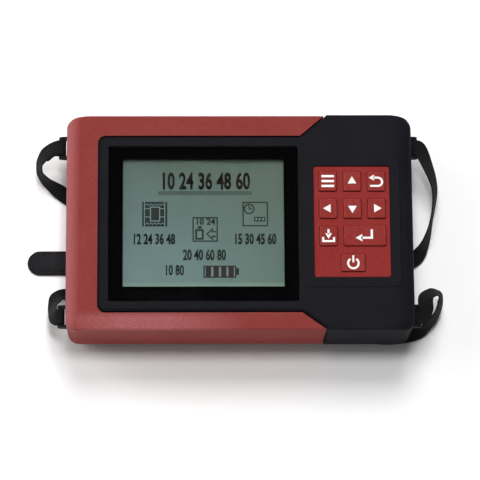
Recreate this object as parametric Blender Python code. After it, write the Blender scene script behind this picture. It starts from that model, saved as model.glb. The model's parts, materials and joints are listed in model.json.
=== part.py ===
"""Display unit of a rebar detector, a kind of stud finder, lying on its back on its four feet.

Metres. +X is to the right of the screen, +Y towards the far long edge, +Z out through the screen.
The origin is the middle of the flat back of the case.
The case is two moulded halves, front and back, and each half is a red piece and a black piece.
"""

import math

import bmesh
import bpy
from mathutils import Matrix, Vector

mm = 0.001

# Front face, from the left end to the right end, and from the screen out to the long edges
left_margin = 21.3 * mm
frame_rim_x = 6.0 * mm
glass_length = 123.5 * mm
keypad_gap = 9.9 * mm
panel_length = 49.5 * mm
right_margin = 14.8 * mm
near_strip_width = 11.9 * mm
far_strip_width = 14.4 * mm
frame_rim_y = 6.7 * mm
glass_width = 103.1 * mm

# Case shell
case_depth = 49 * mm
wall = 2.4 * mm
plan_corner = 7.5 * mm
roll_width = 13 * mm
roll_depth = 6 * mm
edge_fillet = 1 * mm
back_fillet = 3 * mm
parting_height = 15 * mm
gap = 0.3 * mm

# Lip that the back half carries up into the front half
lip_height = 3 * mm
lip_root = 3.5 * mm
lip_thickness = 1.2 * mm

# Black end and screen frame, which stand a little proud of the red shell
black_proud = 0.5 * mm
black_rise = 1.0 * mm
seam_gap = 0.8 * mm
seam_run = 16.7 * mm
seam_knee = 1.9 * mm
seam_slant = 1.2 * mm
seam_lip = 3 * mm
seam_lip_thickness = 1.7 * mm
seam_wall = 2.5 * mm
frame_corner = 4.5 * mm
frame_slope_width = 1.8 * mm
frame_slope_depth = 1.6 * mm

# Screen window and display module
glass_recess = 1.0 * mm
glass_thickness = 1.8 * mm
glass_corner = 2 * mm
view_border = 6.6 * mm
display_shift = 1.25 * mm
bezel_border = 3.1 * mm
bezel_margin_x = 9.4 * mm
bezel_margin_y = 8.85 * mm
bezel_depth = 7 * mm
bezel_thickness = 0.8 * mm
bezel_wall = 1 * mm
bezel_chamfer = 0.4 * mm
cell_glass_thickness = 2 * mm
backlight_thickness = 2.9 * mm
board_thickness = 1.6 * mm
board_corner = 1 * mm
display_board_margin = 4 * mm
display_post_radius = 1.1 * mm
driver_size = 14 * mm
driver_thickness = 1.2 * mm
driver_place = (0.17, 0.11)

# Keypad
panel_width = 74.1 * mm
panel_corner = 1.5 * mm
panel_thickness = 2 * mm
panel_recess = 0.4 * mm
panel_ledge = 1.5 * mm
panel_shift = -0.25 * mm
plateau_margin = 6.7 * mm
plateau_left = 8 * mm
plateau_rise = 0.5 * mm
plateau_corner = 3.3 * mm
panel_chamfer = 0.25 * mm
key_margin_left = 3.55 * mm
key_margin_right = 2.95 * mm
key_margin_far = 3.8 * mm
key_gap_x = 4.25 * mm
key_gap_y = 5.3 * mm
power_gap = 5.55 * mm
power_margin = 3.65 * mm
power_length = 15.5 * mm
power_width = 11.5 * mm
key_corner = 1 * mm
key_chamfer = 0.5 * mm
key_proud = 1.4 * mm
key_clearance = 0.35 * mm
key_flange = 0.7 * mm
key_flange_thickness = 0.8 * mm
key_travel = 0.9 * mm
key_plunger = 4 * mm
mat_margin = 1 * mm
mat_thickness = 1.2 * mm
dome_height = 0.3 * mm
dome_radius = 3 * mm
key_board_margin_x = 4 * mm
key_board_margin_y = 6 * mm
key_connector_length = 22 * mm
key_connector_width = 5 * mm
key_connector_height = 4 * mm
key_connector_inset = 8 * mm
keypad_post_radius = 1.8 * mm
keypad_post_margin_x = 2.5 * mm
keypad_post_margin_y = 4 * mm

# Fasteners and feet
boss_radius = 4 * mm
screw_hole = 1.7 * mm
screw_shank = 1.3 * mm
screw_head = 2.8 * mm
screw_head_thickness = 2 * mm
screw_length = 20 * mm
screw_edge = 0.5 * mm
screw_drive = 1.2 * mm
screw_drive_depth = 1 * mm
counterbore_radius = 3.3 * mm
counterbore_depth = 5 * mm
screw_inset_x = 12.5 * mm
screw_inset_y = 12.4 * mm
near_screw_inset = 10 * mm
red_near_screw_x = -10 * mm
black_near_screw_offset = 11.5 * mm
foot_radius = 6.5 * mm
foot_height = 6 * mm
foot_edge = 1 * mm
foot_recess = 0.8 * mm
foot_inset_x = 24.5 * mm
foot_inset_y = 21.4 * mm
foot_to_hatch = 3.5 * mm

# Battery bay
cell_radius = 7.25 * mm
cell_length = 50.5 * mm
cell_rows = 3
cell_pitch = 15.4 * mm
cell_rim = 0.6 * mm
cell_nub_radius = 2.75 * mm
cell_nub_height = 1 * mm
contact_space = 3 * mm
contact_thickness = 0.5 * mm
contact_width = 5.5 * mm
contact_bump_radius = 3 * mm
contact_bump_height = 1.2 * mm
partition = 1.6 * mm
battery_shift = 8.3 * mm
tray_wall = 1.2 * mm
tray_foot = 1.4 * mm
hatch_thickness = 2.7 * mm
hatch_flange = 1.5 * mm
hatch_flange_thickness = 1.2 * mm
hatch_lip_height = 9 * mm
hatch_flange_root = 3 * mm
hatch_flange_start = 2 * mm
grip_rows = 5
grip_pitch = 2 * mm
grip_length = 24 * mm
grip_width = 0.9 * mm
grip_depth = 0.6 * mm
grip_inset = 10 * mm

# Main board and its parts: each part's place, size and height as shares of the room there
board_rise = 2.2 * mm
board_margin_left = 14.5 * mm
board_margin_right = 12.9 * mm
board_margin_near = 17.4 * mm
board_margin_far = 25.4 * mm
post_radius = 2.6 * mm
post_inset_x = 5 * mm
post_inset_y = 6 * mm
board_parts = {
    "processor": ((-0.02, -0.04), (0.14, 0.20), 0.21),
    "memory": ((0.20, -0.04), (0.085, 0.18), 0.19),
    "converter": ((-0.33, -0.26), (0.10, 0.12), 0.67),
    "display_plug": ((0.29, 0.34), (0.28, 0.06), 0.57),
    "keypad_plug": ((0.445, -0.26), (0.042, 0.22), 0.57),
    "probe_plug": ((-0.23, 0.40), (0.113, 0.07), 0.67),
}
buzzer_place = (0.16, -0.34)
buzzer_radius = 6 * mm
buzzer_hole = 1.2 * mm
buzzer_height_share = 0.47

# Sockets in the far wall
probe_inset = 60.5 * mm
probe_clearance = 3.8 * mm
probe_shoulder = 2 * mm
probe_wall = 1.8 * mm
probe_flange_thickness = 1.5 * mm
probe_edge = 0.5 * mm
probe_reach = 2.2 * mm
probe_depth = 17 * mm
probe_bore_depth = 9 * mm
nut_rim = 1 * mm
nut_thickness = 3 * mm
nut_clearance = 0.4 * mm
bay_inset = 31.5 * mm
bay_z = 27 * mm
bay_length = 30 * mm
bay_height = 14 * mm
cover_thickness = 1.3 * mm
hinge_radius = 1.7 * mm
pin_radius = 0.8 * mm
knuckle_length = 12 * mm
ear_length = 3 * mm
hinge_inset = 0.45 * mm
port_rise = 0.8 * mm
data_socket_offset = -7.5 * mm
data_length = 11.6 * mm
data_height = 9.6 * mm
data_depth = 13 * mm
data_wall = 1.4 * mm
data_mouth_depth = 9 * mm
charge_socket_offset = 7.5 * mm
charge_radius = 4.3 * mm
charge_mouth_radius = 3.2 * mm
charge_depth = 12 * mm
charge_mouth_depth = 9 * mm

# Strap lugs, webbing and palm band
lug_z = 21 * mm
lug_inset_y = 14.3 * mm
webbing_width = 10 * mm
webbing_thickness = 1.2 * mm
strap_pieces = 2
ear_thickness = 1.8 * mm
ear_radius = 2.2 * mm
ear_shoulder = 0.4 * mm
bar_radius = 1.1 * mm
bar_reach = 3.9 * mm
lug_recess = 1.2 * mm
lug_lip = 0.7 * mm
lug_height = 7 * mm
band_thickness = 2.4 * mm
band_y = -15 * mm
band_tongue = 27.5 * mm
band_end_inset = 38.5 * mm
band_end_width = 16.5 * mm
band_palm_width = 36 * mm
band_neck_insets = (6.5 * mm, 56.5 * mm)
band_palm_insets = (30.5 * mm, 78.5 * mm)
band_chamfer = 0.4 * mm

# Places worked out from those sizes
case_length = (left_margin + frame_rim_x + glass_length + keypad_gap
               + panel_length + right_margin)
half_length = case_length / 2
half_width = (near_strip_width + 2 * frame_rim_y + glass_width + far_strip_width) / 2
frame_left = -half_length + left_margin
frame_near = -half_width + near_strip_width
frame_far = half_width - far_strip_width
glass_left = frame_left + frame_rim_x
glass_right = glass_left + glass_length
glass_middle = (glass_left + glass_right) / 2
glass_y = (frame_near + frame_far) / 2
display_y = glass_y + display_shift
panel_left = glass_right + keypad_gap
panel_right = panel_left + panel_length
panel_middle = (panel_left + panel_right) / 2
panel_near = panel_shift - panel_width / 2
panel_far = panel_shift + panel_width / 2
key_length = (panel_length - key_margin_left - key_margin_right - 2 * key_gap_x) / 3
key_width = (panel_width - key_margin_far - 2 * key_gap_y
             - power_gap - power_width - power_margin) / 3
knee_x = glass_right + seam_knee
seam_x = knee_x + seam_run
front_black = case_depth + black_rise
deep_offset = -(wall + gap + seam_lip_thickness)
plate_back = case_depth + deep_offset
display_board_low = plate_back - gap - bezel_depth - board_thickness
beyond = 6 * mm
floor = -foot_height
battery_x = (seam_x - half_length) / 2 + battery_shift
tray_top = (hatch_thickness + hatch_flange_thickness + gap
            + 2 * cell_radius + gap + tray_wall)
main_board_height = tray_top + board_rise
main_board_x = (-half_length + board_margin_left, seam_x - board_margin_right)
main_board_y = (-half_width + board_margin_near, half_width - board_margin_far)
board_room = (display_board_low - driver_thickness
              - main_board_height - board_thickness)
probe_flange = (case_depth - wall - tray_top) / 2 - probe_clearance
probe_barrel = probe_flange - probe_shoulder
probe_bore = probe_barrel - probe_wall
probe_socket_x = -half_length + probe_inset
probe_socket_z = tray_top + probe_flange + nut_rim + nut_clearance
bay_x = half_length - bay_inset
hinge_y = half_width + black_proud - hinge_inset
hinge_z = bay_z - bay_height / 2 + hinge_inset / 2
lug_span = webbing_width + 4 * gap + 2 * ear_thickness

corner_steps = 6
small_corner = 2.4 * mm
small_corner_steps = 3
round_steps = 16
fine_steps = 10


def clear_scene():
    for obj in list(bpy.data.objects):
        bpy.data.objects.remove(obj)


def plastic(name, colour, roughness, metallic=0.0, alpha=1.0):
    """A Principled material with the colour, gloss and metal of one finish."""
    material = bpy.data.materials.new(name)
    material.use_nodes = True
    shader = material.node_tree.nodes["Principled BSDF"]
    shader.inputs["Base Color"].default_value = (*colour, 1)
    shader.inputs["Roughness"].default_value = roughness
    shader.inputs["Metallic"].default_value = metallic
    shader.inputs["Alpha"].default_value = alpha
    return material


def finished(name, mesh, material):
    """A mesh as an object, or as a hidden tool for Booleans if it has no material."""
    bmesh.ops.recalc_face_normals(mesh, faces=mesh.faces)
    data = bpy.data.meshes.new(name)
    mesh.to_mesh(data)
    mesh.free()
    obj = bpy.data.objects.new(name, data)
    bpy.context.scene.collection.objects.link(obj)
    if material:
        data.materials.append(material)
        data.shade_smooth()
        data.set_sharp_from_angle(angle=math.radians(35))
    else:
        obj.hide_render = True
        obj.display_type = "WIRE"
    return obj


def lofted(name, loops, material=None):
    """A closed solid with its skin drawn through loops of equally many points."""
    mesh = bmesh.new()
    rings = [[mesh.verts.new(point) for point in loop] for loop in loops]
    for low, high in zip(rings, rings[1:]):
        for i in range(len(low)):
            j = (i + 1) % len(low)
            mesh.faces.new((low[i], low[j], high[j], high[i]))
    mesh.faces.new(reversed(rings[0]))
    mesh.faces.new(rings[-1])
    return finished(name, mesh, material)


def boolean(target, tool, operation):
    modifier = target.modifiers.new(f"{operation.lower()} {tool.name}", "BOOLEAN")
    modifier.operation = operation
    modifier.solver = "EXACT"
    modifier.object = tool


def cut(target, *tools):
    for tool in tools:
        boolean(target, tool, "DIFFERENCE")


def join(target, *tools):
    for tool in tools:
        boolean(target, tool, "UNION")


def keep(target, *tools):
    for tool in tools:
        boolean(target, tool, "INTERSECT")


def move_origin(obj, point):
    """Puts the object's origin at a point of the world and leaves its shape where it is."""
    obj.data.transform(Matrix.Translation(-Vector(point)))
    obj.location = point


def rounded_loop(low, high, radius, z):
    """A rounded rectangle at one height, counter-clockwise seen from above."""
    corners = (
        (high[0] - radius, high[1] - radius, 0),
        (low[0] + radius, high[1] - radius, 90),
        (low[0] + radius, low[1] + radius, 180),
        (high[0] - radius, low[1] + radius, 270),
    )
    steps = corner_steps if radius > small_corner else small_corner_steps if radius else 0
    points = []
    for x, y, start in corners:
        for step in range(steps + 1):
            angle = math.radians(start + 90 * step / max(steps, 1))
            points.append((x + radius * math.cos(angle), y + radius * math.sin(angle), z))
    return points


def block(name, low, high, radius=0.0, chamfer=0.0, material=None):
    """An upright block between two corners, with round corners in plan and a chamfered top."""
    loops = [rounded_loop(low, high, radius, low[2])]
    if chamfer:
        loops.append(rounded_loop(low, high, radius, high[2] - chamfer))
        low = (low[0] + chamfer, low[1] + chamfer)
        high = (high[0] - chamfer, high[1] - chamfer, high[2])
        radius = max(radius - chamfer, radius / 2)
    loops.append(rounded_loop(low, high, radius, high[2]))
    return lofted(name, loops, material)


def around(middle_x, middle_y, length, width):
    """Low and high corners in plan of a rectangle about its middle."""
    low = (middle_x - length / 2, middle_y - width / 2)
    high = (middle_x + length / 2, middle_y + width / 2)
    return low, high


def plate(name, middle, size, z, radius=0.0, chamfer=0.0, material=None):
    """A block from its middle in plan, its length and width, and its two heights."""
    low, high = around(*middle, *size)
    return block(name, (*low, z[0]), (*high, z[1]), radius, chamfer, material)


def turned(name, profile, material=None, steps=round_steps):
    """A turned solid about +Z from (radius, height) points, first and last as flat ends."""
    loops = []
    for radius, height in profile:
        turn = [2 * math.pi * step / steps for step in range(steps)]
        loops.append([(radius * math.cos(a), radius * math.sin(a), height) for a in turn])
    return lofted(name, loops, material)


def rod(name, middle, radius, z, material=None, steps=round_steps):
    """An upright cylinder."""
    obj = turned(name, [(radius, z[0]), (radius, z[1])], material, steps)
    obj.location = (*middle, 0)
    return obj


def quarter_inset(width, depth, climb):
    """How far a quarter ellipse has turned in after climbing part of its depth."""
    share = min(max(climb / depth, 0.0), 1.0)
    return width * (1 - math.sqrt(1 - share * share))


def case_loop(offset, rise, z):
    """The case's outline at one height, with its sides moved out by offset and its front by rise."""
    front = case_depth + rise
    back_round = max(back_fillet + offset, 0.2 * back_fillet)
    edge_round = max(edge_fillet + offset, 0.4 * edge_fillet)
    back_in = quarter_inset(back_round, back_round, back_round - offset - z)
    roll_in = quarter_inset(roll_width + offset, roll_depth + rise, z - front + roll_depth + rise)
    edge_in = quarter_inset(edge_round, edge_round, z - front + edge_round)
    x = half_length + offset - back_in - roll_in
    y = half_width + offset - back_in - edge_in
    return rounded_loop((-x, -y), (x, y), plan_corner + offset - back_in, z)


def case_form(name, offset, rise=None, low=None, high=None, material=None):
    """The case's whole form, offset outwards or inwards, between two heights."""
    rise = offset if rise is None else rise
    front = case_depth + rise
    back_round = max(back_fillet + offset, 0.2 * back_fillet)
    edge_round = max(edge_fillet + offset, 0.4 * edge_fillet)
    low = -offset if low is None else low
    high = front if high is None else high
    heights = [-offset + back_round * (1 - math.cos(math.radians(a))) for a in (30, 60, 90)]
    heights += [front - (roll_depth + rise) * (1 - math.sin(math.radians(a)))
                for a in (0, 18, 36, 54, 72)]
    heights += [front - edge_round * (1 - math.sin(math.radians(a))) for a in (0, 30, 60)]
    nearest = 0.15 * mm
    levels = [low]
    for z in sorted(heights):
        if levels[-1] + nearest < z < high - nearest:
            levels.append(z)
    levels.append(high)
    return lofted(name, [case_loop(offset, rise, z) for z in levels], material)


def grown(outline, distance):
    """A counter-clockwise outline with each side moved out by a distance."""
    result = []
    for i, here in enumerate(outline):
        into = (Vector(here) - Vector(outline[i - 1])).normalized()
        out = (Vector(outline[(i + 1) % len(outline)]) - Vector(here)).normalized()
        first, second = Vector((into.y, -into.x)), Vector((out.y, -out.x))
        result.append(Vector(here) + (first + second) * distance / (1 + first.dot(second)))
    return result


def seam_shift(z):
    """The seam leans to the left on its way down the case's sides."""
    return -seam_slant * max(case_depth - z, 0) / case_depth


def front_outline(z):
    """Plan of the black front: the screen frame, the two diagonals and the right-hand end."""
    knee = knee_x + seam_shift(z)
    reach = half_width + beyond
    near_end = knee + seam_run * (1 + beyond / near_strip_width)
    far_end = knee + seam_run * (1 + beyond / far_strip_width)
    end = half_length + beyond
    corner = rounded_loop((frame_left, frame_near), (knee, frame_far), frame_corner, 0)
    left_corners = [point[:2] for point in corner[corner_steps + 1:3 * (corner_steps + 1)]]
    return [(knee, frame_far), *left_corners, (knee, frame_near),
            (near_end, -reach), (end, -reach), (end, reach), (far_end, reach)]


def back_outline(z):
    """Plan of the black back, straight across under the front's seam."""
    x = seam_x + seam_shift(z)
    reach = half_width + beyond
    return [(x, -reach), (half_length + beyond, -reach), (half_length + beyond, reach), (x, reach)]


def seam_prism(name, outline, steps, material=None):
    """A prism over the black pieces' outline, from (height, offset) steps."""
    loops = [[(*point, z) for point in grown(outline(z), offset)] for z, offset in steps]
    return lofted(name, loops, material)


def screw_places():
    """Plan places of the case screws, red ones first."""
    far = half_width - screw_inset_y
    near = half_width - near_screw_inset
    end = half_length - screw_inset_x
    red = [(-end, far), (-end, -far), (red_near_screw_x, -near)]
    black = [(seam_x + black_near_screw_offset, -near), (end, far), (end, -far)]
    return red, black


def bosses(half, places):
    """Screw bosses of one front or back shell, as hidden tools with the holes that go in them."""
    solid, hollow = [], []
    for i, place in enumerate(places):
        if half == "front":
            top = case_depth - wall + 2 * gap
            if abs(place[0]) < half_length - screw_inset_x:
                top = plate_back - 2 * gap
                solid.append(block(
                    f"boss_web_{place[0]:.3f}",
                    (place[0] - wall / 2, -half_width + wall / 2, parting_height + lip_root),
                    (place[0] + wall / 2, place[1], top)))
            solid.append(rod(f"boss_{half}_{place[0]:.3f}_{i}", place, boss_radius,
                             (parting_height + gap, top)))
            hollow.append(rod(f"pilot_{half}_{place[0]:.3f}_{i}", place, screw_shank + gap,
                              (0, counterbore_depth + screw_length + 2 * mm), steps=fine_steps))
        else:
            solid.append(rod(f"boss_{half}_{place[0]:.3f}_{i}", place, boss_radius,
                             (wall / 2, parting_height)))
            hollow.append(rod(f"hole_{half}_{place[0]:.3f}_{i}", place, screw_hole,
                              (-beyond, parting_height + beyond), steps=fine_steps))
            hollow.append(rod(f"counterbore_{half}_{place[0]:.3f}_{i}", place,
                              counterbore_radius, (-beyond, counterbore_depth)))
    return solid, hollow


def foot_places():
    left = battery_x - hatch_half() - foot_to_hatch - foot_radius
    right = half_length - foot_inset_x
    y = half_width - foot_inset_y
    return [(left, y), (right, y), (left, -y), (right, -y)]


def lug_places():
    """Places of the four strap lugs, as (side, far or near, surface x, y)."""
    y = half_width - lug_inset_y
    return [("left_far", -1, -half_length, y), ("left_near", -1, -half_length, -y),
            ("right_far", 1, half_length + black_proud, y),
            ("right_near", 1, half_length + black_proud, -y)]


def lug_recesses(side):
    """Shallow seats for the lugs' base plates in one end wall."""
    tools = []
    for name, direction, surface, y in lug_places():
        if direction == side:
            inner, outer = surface - side * lug_recess, surface + side * beyond
            tools.append(block(
                f"lug_seat_{name}",
                (min(inner, outer), y - lug_span / 2 - gap, lug_z - lug_height / 2 - gap),
                (max(inner, outer), y + lug_span / 2 + gap, lug_z + lug_height / 2 + gap)))
    return tools


def front_shell_red(material):
    shell = case_form("front_shell_red", 0, low=parting_height + gap, material=material)
    cut(shell, case_form("red_front_cavity", -wall, low=parting_height - beyond))
    cut(shell, seam_prism("red_front_seam", front_outline,
                          [(0, seam_gap), (case_depth, seam_gap), (2 * case_depth, seam_gap)]))
    solid, hollow = bosses("front", screw_places()[0])
    join(shell, *solid)
    cut(shell, *hollow, *lug_recesses(-1))
    hole = rod("probe_hole", (0, 0), probe_barrel + gap, (-2 * wall, 2 * wall))
    hole.location = (probe_socket_x, half_width, probe_socket_z)
    hole.rotation_euler.x = math.radians(90)
    cut(shell, hole)


def front_shell_black(material):
    slope_start = front_black - frame_slope_depth
    past = 1 * mm
    slope_end = -frame_slope_width * (frame_slope_depth + past) / frame_slope_depth
    shell = seam_prism("front_shell_black", front_outline,
                       [(parting_height + gap, 0), (slope_start, 0),
                        (front_black + past, slope_end)], material)
    keep(shell, case_form("black_envelope", black_proud, black_rise, low=-beyond))

    lip_low = parting_height + lip_height + 2 * gap
    lip = seam_prism("seam_lip", front_outline, [(lip_low, seam_lip), (case_depth, seam_lip)])
    keep(lip, case_form("seam_lip_envelope", -wall - gap, low=0))
    join(shell, lip)
    cut(shell, case_form("deep_cavity", deep_offset, low=lip_low - gap))
    inside = seam_prism("inside_the_seam", front_outline,
                        [(0, -seam_wall), (plate_back - gap, -seam_wall)])
    keep(inside, case_form("black_cavity", -wall, low=0))
    cut(shell, inside)
    cut(shell, case_form("skirt_cavity", -wall, low=0, high=lip_low - gap))

    low = (glass_right + keypad_gap - plateau_left, panel_near - plateau_margin, plate_back + gap)
    high = (panel_right + plateau_margin, panel_far + plateau_margin, front_black + plateau_rise)
    join(shell, block("keypad_plateau", low, high, plateau_corner, plateau_rise))
    solid, hollow = bosses("front", screw_places()[1])
    join(shell, *solid)
    join(shell, *board_posts())

    cut(shell, *hollow, *lug_recesses(1))
    cut(shell, plate("glass_pocket", (glass_middle, glass_y),
                     (glass_length + 2 * gap, glass_width + 2 * gap),
                     (front_black - glass_recess - glass_thickness - gap, front_black + beyond),
                     glass_corner))
    cut(shell, plate("view_opening", (glass_middle, glass_y),
                     (glass_length - 2 * view_border, glass_width - 2 * view_border),
                     (plate_back - beyond, front_black), glass_corner))
    panel_top = front_black - panel_recess
    cut(shell, plate("panel_pocket", (panel_middle, panel_shift),
                     (panel_length + gap, panel_width + gap),
                     (panel_top - panel_thickness - gap, front_black + beyond), panel_corner))
    cut(shell, plate("key_opening", (panel_middle, panel_shift),
                     (panel_length - 2 * panel_ledge, panel_width - 2 * panel_ledge),
                     (plate_back - beyond, front_black), panel_corner))
    cut_socket_bay(shell)


def board_posts():
    """Short posts under the black front plate that hold the display and keypad boards."""
    posts = []
    reach_x = glass_length / 2 - bezel_border + display_board_margin / 2
    reach_y = glass_width / 2 - bezel_border + display_board_margin / 2
    root = plate_back + wall / 2
    for i, (sx, sy) in enumerate([(-1, -1), (-1, 1), (1, -1), (1, 1)]):
        place = (glass_middle + sx * reach_x, display_y + sy * reach_y)
        posts.append(rod(f"display_post_{i}", place, display_post_radius,
                         (display_board_low + board_thickness + gap, root), steps=fine_steps))
        x = panel_middle + sx * (panel_length / 2 + keypad_post_margin_x)
        y = panel_shift + sy * (panel_width / 2 + keypad_post_margin_y)
        posts.append(rod(f"keypad_post_{i}", (x, y), keypad_post_radius,
                         (key_board_top() + gap, root), steps=fine_steps))
    return posts


def hollow_back(shell, name):
    """Joins the upstanding lip and then hollows a back shell."""
    lip_low, lip_high = parting_height - lip_root, parting_height + lip_height
    join(shell, case_form(f"{name}_lip", -wall - gap, low=lip_low + gap, high=lip_high))
    cut(shell, case_form(f"{name}_cavity", -wall, high=lip_low))
    cut(shell, case_form(f"{name}_lip_cavity", -wall - gap - lip_thickness,
                         low=lip_low - beyond, high=lip_high + beyond))


def back_shell_red(material):
    shell = case_form("back_shell_red", 0, high=parting_height, material=material)
    hollow_back(shell, "red_back")
    cut(shell, seam_prism("red_back_seam", back_outline,
                          [(-beyond, seam_gap), (case_depth, seam_gap)]))
    solid, hollow = bosses("back", screw_places()[0])
    posts = [rod(f"board_post_{i}", place, post_radius,
                 (wall / 2, main_board_height - gap), steps=fine_steps)
             for i, place in enumerate(post_places())]
    join(shell, *solid, *posts)
    cut(shell, *hollow, *foot_seats(-1), *hatch_openings())


def back_shell_black(material):
    shell = case_form("back_shell_black", black_proud, high=parting_height, material=material)
    hollow_back(shell, "black_back")
    keep(shell, seam_prism("black_back_seam", back_outline,
                           [(-beyond, 0), (case_depth, 0)]))
    flange = seam_prism("back_seam_flange", back_outline,
                        [(wall + gap, seam_lip), (wall + gap + seam_lip_thickness, seam_lip)])
    keep(flange, case_form("back_flange_envelope", -wall - gap, low=0))
    cut(flange, block("back_flange_end", (seam_x + seam_lip, -half_length, -beyond),
                      (2 * half_length, half_length, case_depth)))
    web = block("back_flange_web", (seam_x - seam_slant + seam_gap, -half_width + 2 * wall, wall / 2),
                (seam_x + seam_lip - gap, half_width - 2 * wall, wall + 3 * gap))
    join(shell, web, flange)
    solid, hollow = bosses("back", screw_places()[1])
    join(shell, *solid)
    cut(shell, *hollow, *foot_seats(1))


def foot_seats(side):
    """Shallow round recesses for the feet on one side of the back."""
    return [rod(f"foot_seat_{i}", place, foot_radius + gap, (-beyond, foot_recess))
            for i, place in enumerate(foot_places()) if place[0] * side > 0]


def post_places():
    """Plan places of the posts under the main board, clear of the battery tray."""
    near = main_board_y[0] + post_inset_y
    far = bay_near() - tray_foot - 2 * gap - tray_wall - post_radius
    left, right = main_board_x[0] + post_inset_x, main_board_x[1] - post_inset_x
    return [(left, near), (right, near), (left, far), (right, far)]


def bay_half():
    """Half the length of the space for two columns of cells."""
    return cell_length + 2 * contact_space + partition / 2


def bay_far():
    return half_width - wall - 2 * gap - lip_thickness - tray_wall


def bay_near():
    return bay_far() - cell_rows * cell_pitch


def hatch_half():
    return bay_half() + tray_wall


def cell_height():
    return hatch_thickness + hatch_flange_thickness + gap + cell_radius


def hatch_openings():
    """Tools that open the back and the far wall for the hatch and its two flanges."""
    half = hatch_half()
    near = bay_near() - gap
    far = half_width + beyond
    body = block("hatch_opening", (battery_x - half - gap, near - gap, -beyond),
                 (battery_x + half + gap, far, hatch_lip_height + gap))
    slot = block("hatch_slot", (battery_x - half - hatch_flange - gap, near, wall),
                 (battery_x + half + hatch_flange + gap, far,
                  hatch_thickness + hatch_flange_thickness + gap))
    return body, slot


def battery_hatch(material):
    half, near = hatch_half(), bay_near() - gap
    inner_far = half_width - wall
    hatch = case_form("battery_hatch", 0, high=hatch_lip_height, material=material)
    keep(hatch, block("hatch_mask", (battery_x - half, near, -beyond),
                      (battery_x + half, half_width + beyond, case_depth)))
    cut(hatch, block("hatch_hollow", (battery_x - half - beyond, near - beyond, hatch_thickness),
                     (battery_x + half + beyond, inner_far, case_depth)))
    for side in (-1, 1):
        edge = battery_x + side * (half + hatch_flange)
        root = battery_x + side * (half - hatch_flange_root)
        join(hatch, block(f"hatch_flange_{side}",
                          (min(edge, root), near + hatch_flange_start, hatch_thickness - gap),
                          (max(edge, root), inner_far - gap,
                           hatch_thickness + hatch_flange_thickness)))
    for i in range(grip_rows):
        y = half_width - grip_inset + (i - grip_rows // 2) * grip_pitch
        cut(hatch, plate(f"grip_groove_{i}", (battery_x, y), (grip_length, grip_width),
                         (-beyond, grip_depth)))
    move_origin(hatch, (battery_x, (near + half_width) / 2, 0))


def battery_tray(material):
    half, near, far = bay_half(), bay_near(), bay_far()
    height = cell_height()
    skirt = hatch_half() + hatch_flange + 2 * gap + tray_wall
    tray = block("battery_tray", (battery_x - skirt, near - tray_foot, wall + gap),
                 (battery_x + skirt, far + tray_wall, tray_top), material=material)
    cut(tray, block("tray_flange_way",
                    (battery_x - hatch_half() - hatch_flange - gap, near - beyond, -beyond),
                    (battery_x + hatch_half() + hatch_flange + gap, far + beyond,
                     hatch_thickness + hatch_flange_thickness + gap)))
    for column in (-1, 1):
        middle = battery_x + column * (half + partition / 2) / 2
        length = half - partition / 2
        for row in range(cell_rows):
            y = near + (row + 0.5) * cell_pitch
            trough = rod(f"cell_trough_{column}_{row}", (0, 0), cell_radius + gap,
                         (-length / 2, length / 2))
            trough.location = (middle, y, height)
            trough.rotation_euler.y = math.radians(90)
            cut(tray, trough)
        cut(tray, block(f"bay_{column}", (middle - length / 2, near, -beyond),
                        (middle + length / 2, near + cell_rows * cell_pitch, height + gap)))


def battery_cells(material):
    low, high = -cell_length / 2, cell_length / 2
    shoulder = high - cell_nub_height
    profile = [(cell_radius - cell_rim, low), (cell_radius, low + cell_rim),
               (cell_radius, shoulder - cell_rim), (cell_radius - cell_rim, shoulder),
               (cell_nub_radius, shoulder), (cell_nub_radius, high)]
    first = turned("battery_cell_1", profile, material)
    count = 0
    for column in (-1, 1):
        for row in range(cell_rows):
            count += 1
            cell = first
            if count > 1:
                cell = bpy.data.objects.new(f"battery_cell_{count}", first.data)
                bpy.context.scene.collection.objects.link(cell)
            cell.location = (battery_x + column * (bay_half() + partition / 2) / 2,
                             bay_near() + (row + 0.5) * cell_pitch, cell_height())
            cell.rotation_euler.y = math.radians(90 if row % 2 else -90)


def contact_plates(material):
    """The sprung strips at the two ends of the battery bay, one piece each."""
    margin = 3 * gap
    for name, side in (("contact_strip_left", -1), ("contact_strip_right", 1)):
        wall_x = battery_x + side * (bay_half() - gap)
        inner = wall_x - side * contact_thickness
        middle_z = cell_height() - contact_width / 2
        low = (min(wall_x, inner), bay_near() + margin, middle_z - contact_width / 2)
        high = (max(wall_x, inner), bay_near() + cell_rows * cell_pitch - margin,
                middle_z + contact_width / 2)
        strip = block(name, low, high, material=material)
        for row in range(cell_rows):
            bump = turned(f"{name}_bump_{row}",
                          [(contact_bump_radius, 0),
                           (contact_bump_radius - contact_thickness, contact_bump_height)],
                          steps=fine_steps)
            bump.location = (wall_x - side * contact_thickness / 2,
                             bay_near() + (row + 0.5) * cell_pitch, middle_z)
            bump.rotation_euler.y = math.radians(-90 * side)
            join(strip, bump)


def feet(material):
    profile = [(foot_radius - foot_edge, floor), (foot_radius, floor + foot_edge),
               (foot_radius, foot_recess - gap)]
    first = turned("foot_1", profile, material)
    for i, place in enumerate(foot_places()):
        foot = first
        if i:
            foot = bpy.data.objects.new(f"foot_{i + 1}", first.data)
            bpy.context.scene.collection.objects.link(foot)
        foot.location = (*place, 0)


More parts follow.
